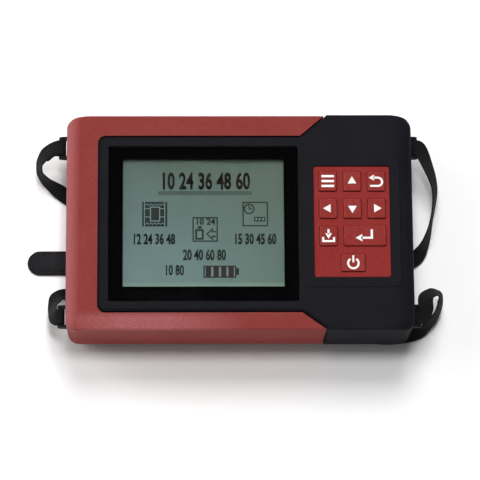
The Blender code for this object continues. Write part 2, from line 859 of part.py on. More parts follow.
def case_screws(material):
    head_low = counterbore_depth - gap - screw_head_thickness
    tip = counterbore_depth + screw_length
    profile = [(screw_head - screw_edge, head_low), (screw_head, head_low + screw_edge),
               (screw_head, counterbore_depth - gap), (screw_shank, counterbore_depth - gap),
               (screw_shank, tip - screw_shank), (screw_shank / 3, tip)]
    slot = turned("driver_recess",
                  [(screw_drive, head_low - screw_drive_depth),
                   (2 * screw_drive / 3, head_low + screw_drive_depth)], steps=6)
    for i, place in enumerate(sum(screw_places(), [])):
        screw = turned(f"case_screw_{i + 1}", profile, material, steps=fine_steps)
        recess = bpy.data.objects.new(f"driver_recess_{i + 1}", slot.data)
        recess.hide_render = True
        recess.display_type = "WIRE"
        bpy.context.scene.collection.objects.link(recess)
        screw.location = recess.location = (*place, 0)
        cut(screw, recess)


def screen_window(material):
    top = front_black - glass_recess
    plate("screen_window", (glass_middle, glass_y), (glass_length, glass_width),
          (top - glass_thickness, top), glass_corner, material=material)


def display_module(metal, glass, white, board):
    """Metal bezel, liquid-crystal cell, backlight and circuit board, stacked from the front."""
    length = glass_length - 2 * bezel_border
    width = glass_width - 2 * bezel_border
    top = plate_back - gap
    middle = (glass_middle, display_y)
    bezel = plate("display_bezel", middle, (length, width), (top - bezel_depth, top),
                  board_corner, bezel_chamfer, metal)
    cut(bezel, plate("bezel_hollow", middle, (length - 2 * bezel_wall, width - 2 * bezel_wall),
                     (top - 2 * bezel_depth, top - bezel_thickness)))
    cut(bezel, plate("bezel_window", middle,
                     (glass_length - 2 * bezel_margin_x, glass_width - 2 * bezel_margin_y),
                     (top - bezel_depth, top + beyond), board_corner))
    inside = (length - 3 * bezel_wall, width - 3 * bezel_wall)
    cell_top = top - bezel_thickness - gap
    light_top = cell_top - cell_glass_thickness - gap
    plate("display_cell", middle, inside, (cell_top - cell_glass_thickness, cell_top),
          material=glass)
    plate("display_backlight", middle, inside, (light_top - backlight_thickness, light_top),
          material=white)
    board_top = top - bezel_depth
    pcb = plate("display_board", middle,
                (length + 2 * display_board_margin, width + 2 * display_board_margin),
                (board_top - board_thickness, board_top - gap / 2), board_corner, material=board)
    driver = (middle[0] + driver_place[0] * length, middle[1] + driver_place[1] * width)
    join(pcb, plate("display_driver", driver, (driver_size, driver_size),
                    (board_top - board_thickness - driver_thickness,
                     board_top - board_thickness / 2)))


def keypad_panel(material):
    top = front_black - panel_recess
    panel = plate("keypad_panel", (panel_middle, panel_shift), (panel_length, panel_width),
                  (top - panel_thickness, top), panel_corner, panel_chamfer, material)
    for name, middle, size in key_places():
        size = (size[0] + 2 * key_clearance, size[1] + 2 * key_clearance)
        cut(panel, plate(f"way_{name}", middle, size, (top - beyond, top + beyond),
                         key_corner + key_clearance))


def key_places():
    """Name, middle and size of each key."""
    single = (key_length, key_width)
    names = [["key_menu", "key_up", "key_back"],
             ["key_left", "key_down", "key_right"],
             ["key_save"]]
    pitch_x, pitch_y = key_length + key_gap_x, key_width + key_gap_y
    column = panel_left + key_margin_left + key_length / 2 + pitch_x
    places = []
    for row, keys in enumerate(names):
        y = panel_far - key_margin_far - key_width / 2 - row * pitch_y
        for i, name in enumerate(keys):
            places.append((name, (column + (i - 1) * pitch_x, y), single))
    places.append(("key_enter", (column + pitch_x / 2, y), (key_length + pitch_x, key_width)))
    power_y = y - key_width / 2 - power_gap - power_width / 2
    places.append(("key_power", (column, power_y), (power_length, power_width)))
    return places


def key_heights():
    """Heights of a key's top, the underside of its flange and the end of its plunger."""
    top = front_black - panel_recess + key_proud
    flange_top = front_black - panel_recess - panel_thickness - gap
    flange_low = flange_top - key_flange_thickness
    plunger_low = plate_back - gap + dome_height + key_travel + gap
    return top, flange_top, flange_low, plunger_low


def keys(material):
    top, flange_top, flange_low, plunger_low = key_heights()
    for name, middle, size in key_places():
        key = plate(name, middle, size, (flange_top - gap, top), key_corner,
                    key_chamfer, material)
        join(key, plate(f"{name}_flange", middle,
                        (size[0] + 2 * key_flange, size[1] + 2 * key_flange),
                        (flange_low, flange_top), key_corner))
        if plunger_low < flange_low:
            join(key, plate(f"{name}_plunger", middle, (key_plunger, key_plunger),
                            (plunger_low, flange_top - gap)))
        move_origin(key, (*middle, flange_top))


def mat_top():
    return plate_back - gap


def key_board_top():
    return mat_top() - mat_thickness - gap


def key_mat(material):
    size = (panel_length - 2 * panel_ledge + 2 * mat_margin,
            panel_width - 2 * panel_ledge + 2 * mat_margin)
    top = mat_top()
    mat = plate("key_mat", (panel_middle, panel_shift), size, (top - mat_thickness, top),
                panel_corner, material=material)
    for name, middle, _ in key_places():
        dome = turned(f"dome_{name}", [(dome_radius, top - mat_thickness / 2),
                                       (dome_radius, top),
                                       (dome_radius - 2 * dome_height, top + dome_height)],
                      steps=fine_steps)
        dome.location = (*middle, 0)
        join(mat, dome)


def key_board(material):
    top = key_board_top()
    size = (panel_length + 2 * key_board_margin_x, panel_width + 2 * key_board_margin_y)
    board = plate("key_board", (panel_middle, panel_shift), size,
                  (top - board_thickness, top), board_corner, material=material)
    join(board, plate("key_connector", (panel_middle, panel_near + key_connector_inset),
                      (key_connector_length, key_connector_width),
                      (top - board_thickness - key_connector_height,
                       top - board_thickness / 2)))


def on_main_board(place):
    """A place in plan from its shares of the main board's length and width."""
    spans = (main_board_x, main_board_y)
    return [(low + high) / 2 + share * (high - low) for share, (low, high) in zip(place, spans)]


def main_board(material):
    low = (main_board_x[0], main_board_y[0], main_board_height)
    high = (main_board_x[1], main_board_y[1], main_board_height + board_thickness)
    board = block("main_board", low, high, board_corner, material=material)
    above = main_board_height + board_thickness / 2
    for name, (place, size, height) in board_parts.items():
        join(board, plate(f"board_{name}", on_main_board(place),
                          (size[0] * (high[0] - low[0]), size[1] * (high[1] - low[1])),
                          (above, main_board_height + board_thickness + height * board_room)))


def buzzer(material):
    low = main_board_height + board_thickness + gap
    height = buzzer_height_share * board_room
    profile = [(buzzer_radius, low), (buzzer_radius, low + height),
               (buzzer_hole, low + height), (buzzer_hole, low + height / 2)]
    turned("buzzer", profile, material).location = (*on_main_board(buzzer_place), 0)


def probe_socket(material, nut_material):
    """The round multi-way socket that the probe's cable plugs into, and its nut inside."""
    face = half_width + gap
    inner = -probe_depth
    profile = [(probe_barrel - probe_edge, inner), (probe_barrel, inner + probe_edge),
               (probe_barrel, 0), (probe_flange, 0), (probe_flange, probe_flange_thickness),
               (probe_barrel, probe_flange_thickness), (probe_barrel, probe_reach - probe_edge),
               (probe_barrel - probe_edge, probe_reach), (probe_bore, probe_reach),
               (probe_bore, probe_reach - probe_bore_depth)]
    socket = turned("probe_socket", profile, material)
    socket.location = (probe_socket_x, face, probe_socket_z)
    socket.rotation_euler.x = math.radians(-90)
    low = -wall - 2 * gap - nut_thickness
    nut = turned("socket_nut", [(probe_flange + nut_rim, low),
                                (probe_flange + nut_rim, low + nut_thickness)],
                 nut_material, steps=6)
    cut(nut, turned("nut_bore", [(probe_barrel + gap / 2, 2 * low),
                                 (probe_barrel + gap / 2, 0)]))
    nut.location = (probe_socket_x, face, probe_socket_z)
    nut.rotation_euler.x = math.radians(-90)
    bpy.data.objects["nut_bore"].location = nut.location
    bpy.data.objects["nut_bore"].rotation_euler.x = math.radians(-90)


def cut_socket_bay(shell):
    """The shallow seat of the port cover with its hinge ears and the window of both sockets."""
    face = half_width + black_proud
    seat = cover_thickness + gap
    low_z = bay_z - bay_height / 2
    ears = []
    for side in (-1, 1):
        middle = bay_x + side * (knuckle_length / 2 + gap + ear_length / 2)
        ear = rod(f"hinge_ear_{side}", (0, 0), hinge_radius, (-ear_length / 2, ear_length / 2),
                  steps=fine_steps)
        ear.location = (middle, hinge_y, hinge_z)
        ear.rotation_euler.y = math.radians(90)
        ears.append(ear)
    cut(shell, block("cover_seat", (bay_x - bay_length / 2 - gap, face - seat, low_z - gap),
                     (bay_x + bay_length / 2 + gap, face + beyond,
                      bay_z + bay_height / 2 + gap)))
    cut(shell, block("knuckle_way", (bay_x - knuckle_length / 2 - gap / 2,
                                     hinge_y - hinge_radius - gap, hinge_z - hinge_radius - gap),
                     (bay_x + knuckle_length / 2 + gap / 2, face + beyond,
                                     hinge_z + hinge_radius + gap)))
    join(shell, *ears)
    bore = rod("pin_bore", (0, 0), pin_radius + gap / 2,
               (-knuckle_length, knuckle_length), steps=fine_steps)
    bore.location = (bay_x, hinge_y, hinge_z)
    bore.rotation_euler.y = math.radians(90)
    cut(shell, bore)
    start = bay_x + data_socket_offset - data_length / 2 - gap
    end = bay_x + charge_socket_offset + charge_radius + gap
    port_z, reach_z = bay_z + port_rise, data_height / 2 + gap
    cut(shell, block("socket_window", (start, face - beyond, port_z - reach_z),
                     (end, face + beyond, port_z + reach_z)))


def ports(metal, black):
    """Data and charging sockets behind the port cover."""
    face = half_width + black_proud - cover_thickness - 2 * gap
    x, z = data_length / 2, data_height / 2
    data = block("data_socket", (-x, -data_depth, -z), (x, 0, z), material=metal)
    mouth = block("data_mouth", (data_wall - x, -data_mouth_depth, data_wall - z),
                  (x - data_wall, beyond, z - data_wall))
    cut(data, mouth)
    data.location = mouth.location = (bay_x + data_socket_offset, face, bay_z + port_rise)
    charge = turned("charge_socket",
                    [(charge_radius, -charge_depth), (charge_radius, 0),
                     (charge_mouth_radius, 0), (charge_mouth_radius, -charge_mouth_depth)], black)
    charge.location = (bay_x + charge_socket_offset, face, bay_z + port_rise)
    charge.rotation_euler.x = math.radians(-90)


def port_cover(material, pin_material):
    """The hinged cover over the ports and its hinge pin."""
    face = half_width + black_proud
    low_z = bay_z - bay_height / 2
    cover = block("port_cover", (bay_x - bay_length / 2, face - cover_thickness, low_z),
                  (bay_x + bay_length / 2, face, bay_z + bay_height / 2), material=material)
    for side in (-1, 1):
        inner = bay_x + side * (knuckle_length / 2 + gap)
        outer = bay_x + side * (knuckle_length / 2 + 2 * gap + ear_length + gap)
        cut(cover, block(f"ear_way_{side}",
                         (min(inner, outer), face - beyond, low_z - beyond),
                         (max(inner, outer), face + beyond, hinge_z + hinge_radius + gap)))
    knuckle = rod("cover_knuckle", (0, 0), hinge_radius,
                  (-knuckle_length / 2, knuckle_length / 2), steps=fine_steps)
    knuckle.location = (bay_x, hinge_y, hinge_z)
    knuckle.rotation_euler.y = math.radians(90)
    join(cover, knuckle)
    bore = rod("knuckle_bore", (0, 0), pin_radius + gap,
               (-knuckle_length, knuckle_length), steps=fine_steps)
    bore.location = (bay_x, hinge_y, hinge_z)
    bore.rotation_euler.y = math.radians(90)
    cut(cover, bore)
    move_origin(cover, (bay_x, hinge_y, hinge_z))
    reach = knuckle_length / 2 + gap + ear_length
    pin = rod("cover_pin", (0, 0), pin_radius, (-reach, reach), pin_material, steps=fine_steps)
    pin.location = (bay_x, hinge_y, hinge_z)
    pin.rotation_euler.y = math.radians(90)


def bar_centre(direction, surface):
    """X of a lug's bar, which the webbing goes round."""
    return surface + direction * bar_reach


def strap_lugs(material):
    """Moulded brackets on the case's ends, each with a bar across two ears."""
    for name, direction, surface, y in lug_places():
        inner = surface - direction * (lug_recess - gap)
        outer = surface + direction * lug_lip
        lug = block(f"strap_lug_{name}",
                    (min(inner, outer), y - lug_span / 2, lug_z - lug_height / 2),
                    (max(inner, outer), y + lug_span / 2, lug_z + lug_height / 2),
                    material=material)
        bar_x = bar_centre(direction, surface)
        for side in (-1, 1):
            middle = y + side * (lug_span - ear_thickness) / 2
            root = surface - direction * gap
            loop = []
            for angle in range(-90, 91, 30):
                turn = math.radians(angle)
                loop.append((bar_x + direction * ear_radius * math.cos(turn),
                             lug_z + ear_radius * math.sin(turn)))
            loop = [(root, lug_z - lug_height / 2 + ear_shoulder), *loop,
                    (root, lug_z + lug_height / 2 - ear_shoulder)]
            ear = lofted(f"ear_{name}_{side}",
                         [[(x, middle - ear_thickness / 2, z) for x, z in loop],
                          [(x, middle + ear_thickness / 2, z) for x, z in loop]])
            join(lug, ear)
        half_bar = (lug_span - ear_thickness) / 2
        bar = rod(f"bar_{name}", (0, 0), bar_radius, (-half_bar, half_bar), steps=fine_steps)
        bar.location = (bar_x, y, lug_z)
        bar.rotation_euler.x = math.radians(90)
        join(lug, bar)


def smooth_route(points, pieces):
    """A Catmull-Rom curve through hand-placed stations of any number of values."""
    stations = [Vector(point) for point in points]
    stations = [2 * stations[0] - stations[1], *stations, 2 * stations[-1] - stations[-2]]
    route = []
    for a, b, c, d in zip(stations, stations[1:], stations[2:], stations[3:]):
        for step in range(pieces):
            t = step / pieces
            route.append(0.5 * (2 * b + (c - a) * t + (2 * a - 5 * b + 4 * c - d) * t * t
                                + (3 * b - a - 3 * c + d) * t ** 3))
    route.append(stations[-2])
    return route


def ribbon(name, centres, widths, width, thickness, material):
    """A flat strap swept along its centres, its width lying along a direction at each one."""
    loops = []
    for i, centre in enumerate(centres):
        along = (centres[min(i + 1, len(centres) - 1)] - centres[max(i - 1, 0)]).normalized()
        across = (widths[i] - along * widths[i].dot(along)).normalized() * width / 2
        normal = along.cross(across).normalized() * thickness / 2
        loops.append([centre - across - normal, centre + across - normal,
                      centre + across + normal, centre - across + normal])
    return lofted(name, loops, material)


def wrap(direction, surface, y):
    """Places of webbing that goes in under a lug's bar, round it and out over it."""
    bar_x = bar_centre(direction, surface)
    radius = bar_radius + gap + webbing_thickness / 2
    arc = []
    for angle in range(-90, -271, -30):
        turn = math.radians(angle)
        arc.append((bar_x + direction * radius * math.cos(turn), y,
                    lug_z + radius * math.sin(turn)))
    return arc


# Route of each strap after its lug, in millimetres: x, y, z and the direction of its outer edge.
# Each leaves its lug flat, turns on edge beside the case and runs in under it to the palm band.
# X is from the case's end. Y is from its long edge, and at the last few from the palm band.
strap_routes = {
    "left_far": [
        ((-6.8, -14.2, 22.8), (0, 1, 0)),
        ((-11.7, -15.4, 20.8), (-0.35, 0.85, -0.35)),
        ((-16.1, -18.0, 17.3), (-0.6, 0.5, -0.62)),
        ((-19.3, -22.2, 13.0), (-0.42, 0.12, -0.9)),
        ((-19.1, -27.6, 8.8), (-0.25, -0.08, -0.97)),
        ((-15.4, -32.2, 4.6), (-0.26, -0.26, -0.93)),
        ((-10.5, -35.4, 0.7), (-0.35, -0.5, -0.78)),
        ((-4.5, -39.2, -3.2), (-0.55, -0.8, -0.22)),
        ((4.5, -45.4, -5.0), (-0.55, -0.83, 0)),
        ((13.5, -51.9, -5.1), (-0.62, -0.78, 0)),
        ((23.5, 26.5, -2.95), (-0.62, -0.78, 0)),
        ((33.5, 18.5, -2.75), (-0.62, -0.78, 0)),
        ((44.5, 10.0, -2.75), (-0.62, -0.78, 0)),
    ],
    "left_near": [
        ((-6.8, 14.0, 22.6), (0, -1, 0)),
        ((-9.1, 16.8, 19.5), (-0.5, -0.6, -0.6)),
        ((-9.3, 21.8, 14.5), (-0.5, -0.1, -0.85)),
        ((-8.3, 26.6, 9.5), (-0.75, 0.1, -0.65)),
        ((-7.5, 30.6, 4.7), (-0.55, 0.5, -0.65)),
        ((-5.1, 33.2, 0.4), (-0.28, 0.7, -0.65)),
        ((0.0, 34.2, -3.8), (-0.1, 0.97, -0.15)),
        ((8.5, 33.9, -5.1), (0, 1, 0)),
        ((16.5, 33.4, -5.1), (0, 1, 0)),
        ((26.5, 34.4, -2.9), (-0.2, 1, 0)),
        ((37.5, -17.0, -2.75), (-0.45, 0.9, 0)),
        ((48.5, -10.0, -2.75), (-0.5, 0.86, 0)),
    ],
    "right_far": [
        ((7.5, -14.8, 22.9), (0.1, 1, 0)),
        ((10.3, -19.1, 21.6), (0.6, 0.75, -0.25)),
        ((13.5, -25.9, 18.5), (0.68, 0.42, -0.6)),
        ((16.5, -32.9, 15.5), (0.6, 0.2, -0.78)),
        ((18.3, -40.4, 12.8), (0.42, 0.05, -0.9)),
        ((18.1, -48.4, 10.0), (0.25, 0, -0.97)),
        ((16.5, -58.9, 6.8), (0.15, -0.03, -0.99)),
        ((14.1, 17.2, 3.1), (0.3, -0.12, -0.94)),
        ((10.6, 8.8, -0.5), (0.45, -0.4, -0.8)),
        ((5.0, 2.0, -3.9), (0.55, -0.8, -0.22)),
        ((-4.5, -2.0, -5.1), (0.3, -0.95, 0)),
        ((-14.5, -2.5, -5.1), (0, -1, 0)),
        ((-28.5, -0.8, -4.6), (0, -1, 0)),
        ((-36.0, -0.2, -2.85), (0, -1, 0)),
        ((-44.5, 0.0, -2.75), (0, -1, 0)),
        ((-54.5, 0.0, -2.75), (0, -1, 0)),
    ],
    "right_near": [
        ((7.8, 14.8, 24.1), (-0.3, 0.95, 0)),
        ((9.4, 18.9, 25.0), (-0.8, 0.6, 0)),
        ((9.3, 23.9, 24.5), (-0.9, 0.2, -0.1)),
        ((10.7, 28.1, 21.8), (-0.65, 0.5, -0.55)),
        ((15.9, 31.2, 17.5), (-0.13, 0.6, -0.8)),
        ((19.6, 29.7, 14.0), (0.36, 0.19, -0.91)),
        ((20.2, 25.5, 11.0), (0.32, -0.02, -0.95)),
        ((18.7, 20.1, 7.8), (0.29, -0.1, -0.95)),
        ((15.2, 14.7, 4.4), (0.29, -0.26, -0.92)),
        ((10.5, 10.7, 0.6), (0.26, -0.39, -0.88)),
        ((4.0, 8.2, -3.4), (0.16, -0.97, -0.2)),
        ((-4.5, 6.4, -5.1), (0.1, -1, 0)),
        ((-18.5, 5.9, -5.1), (0, -1, 0)),
        ((-35.5, 9.4, -5.1), (-0.5, -0.85, 0)),
        ((-50.5, -31.0, -5.1), (-0.8, -0.6, 0)),
        ((-62.5, -15.0, -2.85), (-0.85, -0.5, 0)),
        ((-70.5, -4.0, -2.75), (-0.8, -0.6, 0)),
    ],
}

# How many first stations each strap's folded end is sewn along, and how many last stations are
# placed from the palm band
sewn_stations = {"left_far": 3, "left_near": 2, "right_far": 1, "right_near": 1}
band_stations = {"left_far": 3, "left_near": 2, "right_far": 9, "right_near": 3}


def strap_route(name, direction, y):
    """One strap's route as (centre, outer edge direction)."""
    stations = strap_routes[name]
    on_the_band = len(stations) - band_stations[name]
    route = []
    for i, (place, edge) in enumerate(stations):
        start_y = band_y if i >= on_the_band else math.copysign(half_width, y)
        start = Vector((direction * half_length, start_y, 0))
        route.append((start + Vector(place) * mm, Vector(edge).normalized()))
    return route


def strap_stations(name, direction, surface, y):
    """Stations of one strap as (centre, outer edge direction), from its sewn end inwards."""
    outer = -1 if name == "left_near" else 1
    route = strap_route(name, direction, y)
    round_bar = [(Vector(place), Vector((0, outer, 0))) for place in wrap(direction, surface, y)]
    leaving = route[0][0]
    sewn = [(Vector((leaving.x, leaving.y, round_bar[0][0].z)), route[0][1])]
    for (place, edge), (next_place, _) in zip(route[1:sewn_stations[name]], route[2:]):
        normal = (next_place - place).cross(edge).normalized()
        sewn.append((place - normal * outer * direction * (webbing_thickness + gap), edge))
    return sewn[::-1] + round_bar + route


def straps(material):
    """The webbing legs, each folded round its lug's bar, sewn to itself and led along its route."""
    for name, direction, surface, y in lug_places():
        stations = [(*centre, *edge) for centre, edge in strap_stations(name, direction, surface, y)]
        route = smooth_route(stations, strap_pieces)
        centres = [Vector(station[:3]) for station in route]
        edges = [Vector(station[3:]) for station in route]
        ribbon(f"strap_{name}", centres, edges, webbing_width, webbing_thickness, material)


def palm_band(material):
    """The leather band that lies under the case, with its rounded tongue out at the left."""
    steps = 8
    end, palm = band_end_width / 2, band_palm_width / 2
    stops = [(-half_length + band_neck_insets[0], end), (-half_length + band_palm_insets[0], palm),
             (half_length - band_palm_insets[1], palm), (half_length - band_neck_insets[1], end)]
    outline = []
    for side, middle in ((-1, -half_length - band_tongue + end),
                         (1, half_length - band_end_inset - end)):
        for step in range(steps + 1):
            angle = math.radians(90 + 180 * step / steps)
            outline.append((middle - side * end * math.cos(angle),
                            band_y - side * end * math.sin(angle)))
        for x, reach in stops[::-side]:
            outline.append((x, band_y + side * reach))
    low, high = floor, floor + band_thickness
    inner = grown(outline, -band_chamfer)
    lofted("palm_band", [[(*point, low) for point in inner],
                         [(*point, low + band_chamfer) for point in outline],
                         [(*point, high - band_chamfer) for point in outline],
                         [(*point, high) for point in inner]], material)


def build():
    clear_scene()
    red = plastic("red_plastic", (0.30, 0.022, 0.02), 0.45)
    black = plastic("black_plastic", (0.02, 0.02, 0.024), 0.42)
    key_red = plastic("key_red", (0.36, 0.02, 0.022), 0.4)
    clear = plastic("clear_acrylic", (0.85, 0.9, 0.88), 0.05, alpha=0.25)
    steel = plastic("zinc_plated_steel", (0.6, 0.6, 0.6), 0.3, 1.0)
    rubber = plastic("black_rubber", (0.03, 0.03, 0.03), 0.8)
    silicone = plastic("grey_silicone", (0.35, 0.35, 0.36), 0.6)
    display = plastic("display_cell", (0.13, 0.2, 0.15), 0.15)
    white = plastic("white_diffuser", (0.8, 0.82, 0.8), 0.6)
    green = plastic("circuit_board", (0.02, 0.12, 0.05), 0.5)
    nickel = plastic("nickel_plate", (0.7, 0.68, 0.63), 0.25, 1.0)
    sleeve = plastic("cell_sleeve", (0.05, 0.12, 0.3), 0.35)
    webbing = plastic("nylon_webbing", (0.012, 0.012, 0.013), 0.85)
    leather = plastic("black_leather", (0.015, 0.015, 0.016), 0.6)

    front_shell_red(red)
    front_shell_black(black)
    back_shell_red(red)
    back_shell_black(black)
    screen_window(clear)
    display_module(steel, display, white, green)
    keypad_panel(key_red)
    keys(key_red)
    key_mat(silicone)
    key_board(green)
    main_board(green)
    buzzer(black)
    battery_tray(black)
    battery_hatch(red)
    battery_cells(sleeve)
    contact_plates(nickel)
    feet(rubber)
    case_screws(steel)
    probe_socket(nickel, nickel)
    ports(steel, black)
    port_cover(rubber, steel)
    strap_lugs(black)
    straps(webbing)
    palm_band(leather)


build()
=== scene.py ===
import json
import math

import bmesh
import bpy
from mathutils import Matrix, Vector

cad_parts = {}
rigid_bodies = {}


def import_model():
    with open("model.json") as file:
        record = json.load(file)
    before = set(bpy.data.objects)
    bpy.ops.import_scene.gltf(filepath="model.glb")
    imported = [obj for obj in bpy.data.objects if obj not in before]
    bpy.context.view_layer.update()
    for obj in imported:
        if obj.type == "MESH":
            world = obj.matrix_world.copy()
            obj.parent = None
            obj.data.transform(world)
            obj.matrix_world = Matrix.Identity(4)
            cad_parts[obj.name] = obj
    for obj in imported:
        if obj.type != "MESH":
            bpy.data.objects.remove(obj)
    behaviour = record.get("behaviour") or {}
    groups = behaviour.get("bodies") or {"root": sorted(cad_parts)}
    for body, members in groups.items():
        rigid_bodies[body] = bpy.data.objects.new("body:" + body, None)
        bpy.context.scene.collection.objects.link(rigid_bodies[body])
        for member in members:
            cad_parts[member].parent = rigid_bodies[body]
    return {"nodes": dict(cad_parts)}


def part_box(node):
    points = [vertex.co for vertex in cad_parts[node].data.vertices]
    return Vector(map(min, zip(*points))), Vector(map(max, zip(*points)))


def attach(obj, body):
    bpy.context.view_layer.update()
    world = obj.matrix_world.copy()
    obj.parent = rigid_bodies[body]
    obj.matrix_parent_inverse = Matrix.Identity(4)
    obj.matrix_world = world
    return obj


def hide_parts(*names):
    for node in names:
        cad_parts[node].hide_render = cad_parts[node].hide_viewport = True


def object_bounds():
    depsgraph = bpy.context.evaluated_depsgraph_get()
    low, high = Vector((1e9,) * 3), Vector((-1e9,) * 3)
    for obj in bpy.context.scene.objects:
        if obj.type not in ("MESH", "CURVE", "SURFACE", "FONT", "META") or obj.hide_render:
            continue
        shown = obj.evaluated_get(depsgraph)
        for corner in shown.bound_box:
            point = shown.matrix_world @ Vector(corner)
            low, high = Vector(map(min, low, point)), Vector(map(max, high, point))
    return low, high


for leftover in list(bpy.data.objects):
    bpy.data.objects.remove(leftover)
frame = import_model()
cad_low, cad_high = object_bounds()
mm = 0.001


# Camera
# Where the photograph was taken from: high above the near long edge and a little to the left,
# far enough away that the long sides stay nearly parallel.
look_at = Vector((0.19, -12.41, 49.0)) * mm
camera_distance = 1.7
camera_elevation = math.radians(76.06)
camera_side = math.radians(5.57)
camera_roll = math.radians(5.33)
camera_reach = 10
sensor_width = 36
focal_length = 197.06

forward = Vector((math.sin(camera_side) * math.cos(camera_elevation),
                  math.cos(camera_side) * math.cos(camera_elevation),
                  -math.sin(camera_elevation)))
level_right = forward.cross(Vector((0, 0, 1))).normalized()
level_up = level_right.cross(forward)
right = level_right * math.cos(camera_roll) + level_up * math.sin(camera_roll)
up = level_up * math.cos(camera_roll) - level_right * math.sin(camera_roll)
bpy.ops.object.camera_add()
camera = bpy.context.object
camera.matrix_world = Matrix.Translation(look_at - forward * camera_distance) @ Matrix(
    (right, up, -forward)).transposed().to_4x4()
camera.data.sensor_width = sensor_width
camera.data.lens = focal_length
camera.data.clip_end = camera_reach
bpy.context.scene.camera = camera
bpy.context.scene.view_settings.view_transform = "Standard"


# Floor and studio light
# A plain white table that keeps the soft shadow of the case, before a white backdrop that mirrors
# and glass see too, up to the black flag overhead. A broad lamp stands high behind the far side, a
# small one right above, a softbox at the left and a low fill in front.
floor_size = 6.0
floor_white = 0.94
floor_gap = 0.02 * mm
fading = (0.4, 1.0)
wall_strength = 0.13
flag_strength = 0.01
flag_height = (0.72, 0.95)
backdrop_height = (0.45, 0.72)


def joined(tree, *pairs):
    """Links each (output, input) pair in a node tree."""
    for output, socket in pairs:
        tree.links.new(output, socket)


def empty_material(name):
    """A node material with nothing in it but its output."""
    material = bpy.data.materials.new(name)
    material.use_nodes = True
    material.node_tree.nodes.clear()
    output = material.node_tree.nodes.new("ShaderNodeOutputMaterial")
    return material, material.node_tree, output


def math_node(tree, operation, first, second=0.0):
    """A Math node fed by a socket and by a socket or a number."""
    node = tree.nodes.new("ShaderNodeMath")
    node.operation = operation
    for value, socket in ((first, node.inputs[0]), (second, node.inputs[1])):
        if isinstance(value, (int, float)):
            socket.default_value = value
        else:
            tree.links.new(value, socket)
    return node.outputs[0]


def ranged(tree, value, low, high, to_low=0.0, to_high=1.0):
    """A Map Range node from one range to another, clamped."""
    node = tree.nodes.new("ShaderNodeMapRange")
    tree.links.new(value, node.inputs["Value"])
    for label, number in (("From Min", low), ("From Max", high),
                          ("To Min", to_low), ("To Max", to_high)):
        if isinstance(number, (int, float)):
            node.inputs[label].default_value = number
        else:
            tree.links.new(number, node.inputs[label])
    return node.outputs["Result"]


def object_place(tree):
    """The Object coordinates."""
    return tree.nodes.new("ShaderNodeTexCoord").outputs["Object"]


def parted(tree, vector):
    """The X, Y and Z of a vector."""
    node = tree.nodes.new("ShaderNodeSeparateXYZ")
    tree.links.new(vector, node.inputs[0])
    return node.outputs


def seen_rays(tree):
    """Two masks: rays straight from the camera, and rays that a mirror or glass sends on."""
    path = tree.nodes.new("ShaderNodeLightPath")
    mirrored = math_node(tree, "MAXIMUM", path.outputs["Is Glossy Ray"],
                         path.outputs["Is Transmission Ray"])
    return path.outputs["Is Camera Ray"], mirrored


table_white, tree, output = empty_material("white table")
paint = tree.nodes.new("ShaderNodeBsdfDiffuse")
paint.inputs["Color"].default_value = (floor_white, floor_white, floor_white, 1)
glow = tree.nodes.new("ShaderNodeEmission")
away = tree.nodes.new("ShaderNodeVectorMath")
away.operation = "LENGTH"
faded = math_node(tree, "MULTIPLY", ranged(tree, away.outputs["Value"], *fading),
                  math_node(tree, "MAXIMUM", *seen_rays(tree)))
seen = tree.nodes.new("ShaderNodeMixShader")
joined(tree, (object_place(tree), away.inputs[0]), (faded, seen.inputs["Fac"]),
       (paint.outputs[0], seen.inputs[1]), (glow.outputs[0], seen.inputs[2]),
       (seen.outputs[0], output.inputs["Surface"]))

bpy.ops.mesh.primitive_plane_add(size=floor_size, location=(0, 0, cad_low.z - floor_gap))
table = bpy.context.object
table.name = "table"
table.data.materials.append(table_white)

world = bpy.data.worlds.new("studio")
bpy.context.scene.world = world
world.use_nodes = True
world.node_tree.nodes.clear()
tree = world.node_tree
height = parted(tree, tree.nodes.new("ShaderNodeTexCoord").outputs["Generated"])["Z"]
room = tree.nodes.new("ShaderNodeBackground")
backdrop = tree.nodes.new("ShaderNodeBackground")
chosen = tree.nodes.new("ShaderNodeMixShader")
straight, mirrored = seen_rays(tree)
mirrored = math_node(tree, "MULTIPLY", mirrored, ranged(tree, height, *backdrop_height, 1, 0))
output = tree.nodes.new("ShaderNodeOutputWorld")
joined(tree, (ranged(tree, height, *flag_height, wall_strength, flag_strength),
              room.inputs["Strength"]),
       (math_node(tree, "MAXIMUM", straight, mirrored), chosen.inputs["Fac"]),
       (room.outputs[0], chosen.inputs[1]), (backdrop.outputs[0], chosen.inputs[2]),
       (chosen.outputs[0], output.inputs["Surface"]))

for name, place, wide, high, power in (("far lamp", (0.05, 0.85, 1.50), 0.70, 0.70, 19.5),
                                       ("top lamp", (0.00, 0.12, 1.50), 0.24, 0.24, 9.0),
                                       ("left softbox", (-1.20, 0.35, 0.85), 1.0, 1.0, 10.5),
                                       ("near fill", (-0.20, -1.40, 0.18), 1.2, 0.34, 6.0)):
    bpy.ops.object.light_add(type="AREA", location=place)
    lamp = bpy.context.object
    lamp.name = name
    lamp.data.shape = "RECTANGLE"
    lamp.data.size = wide
    lamp.data.size_y = high
    lamp.data.energy = power
    lamp.rotation_euler = (-Vector(place)).to_track_quat("-Z", "Y").to_euler()


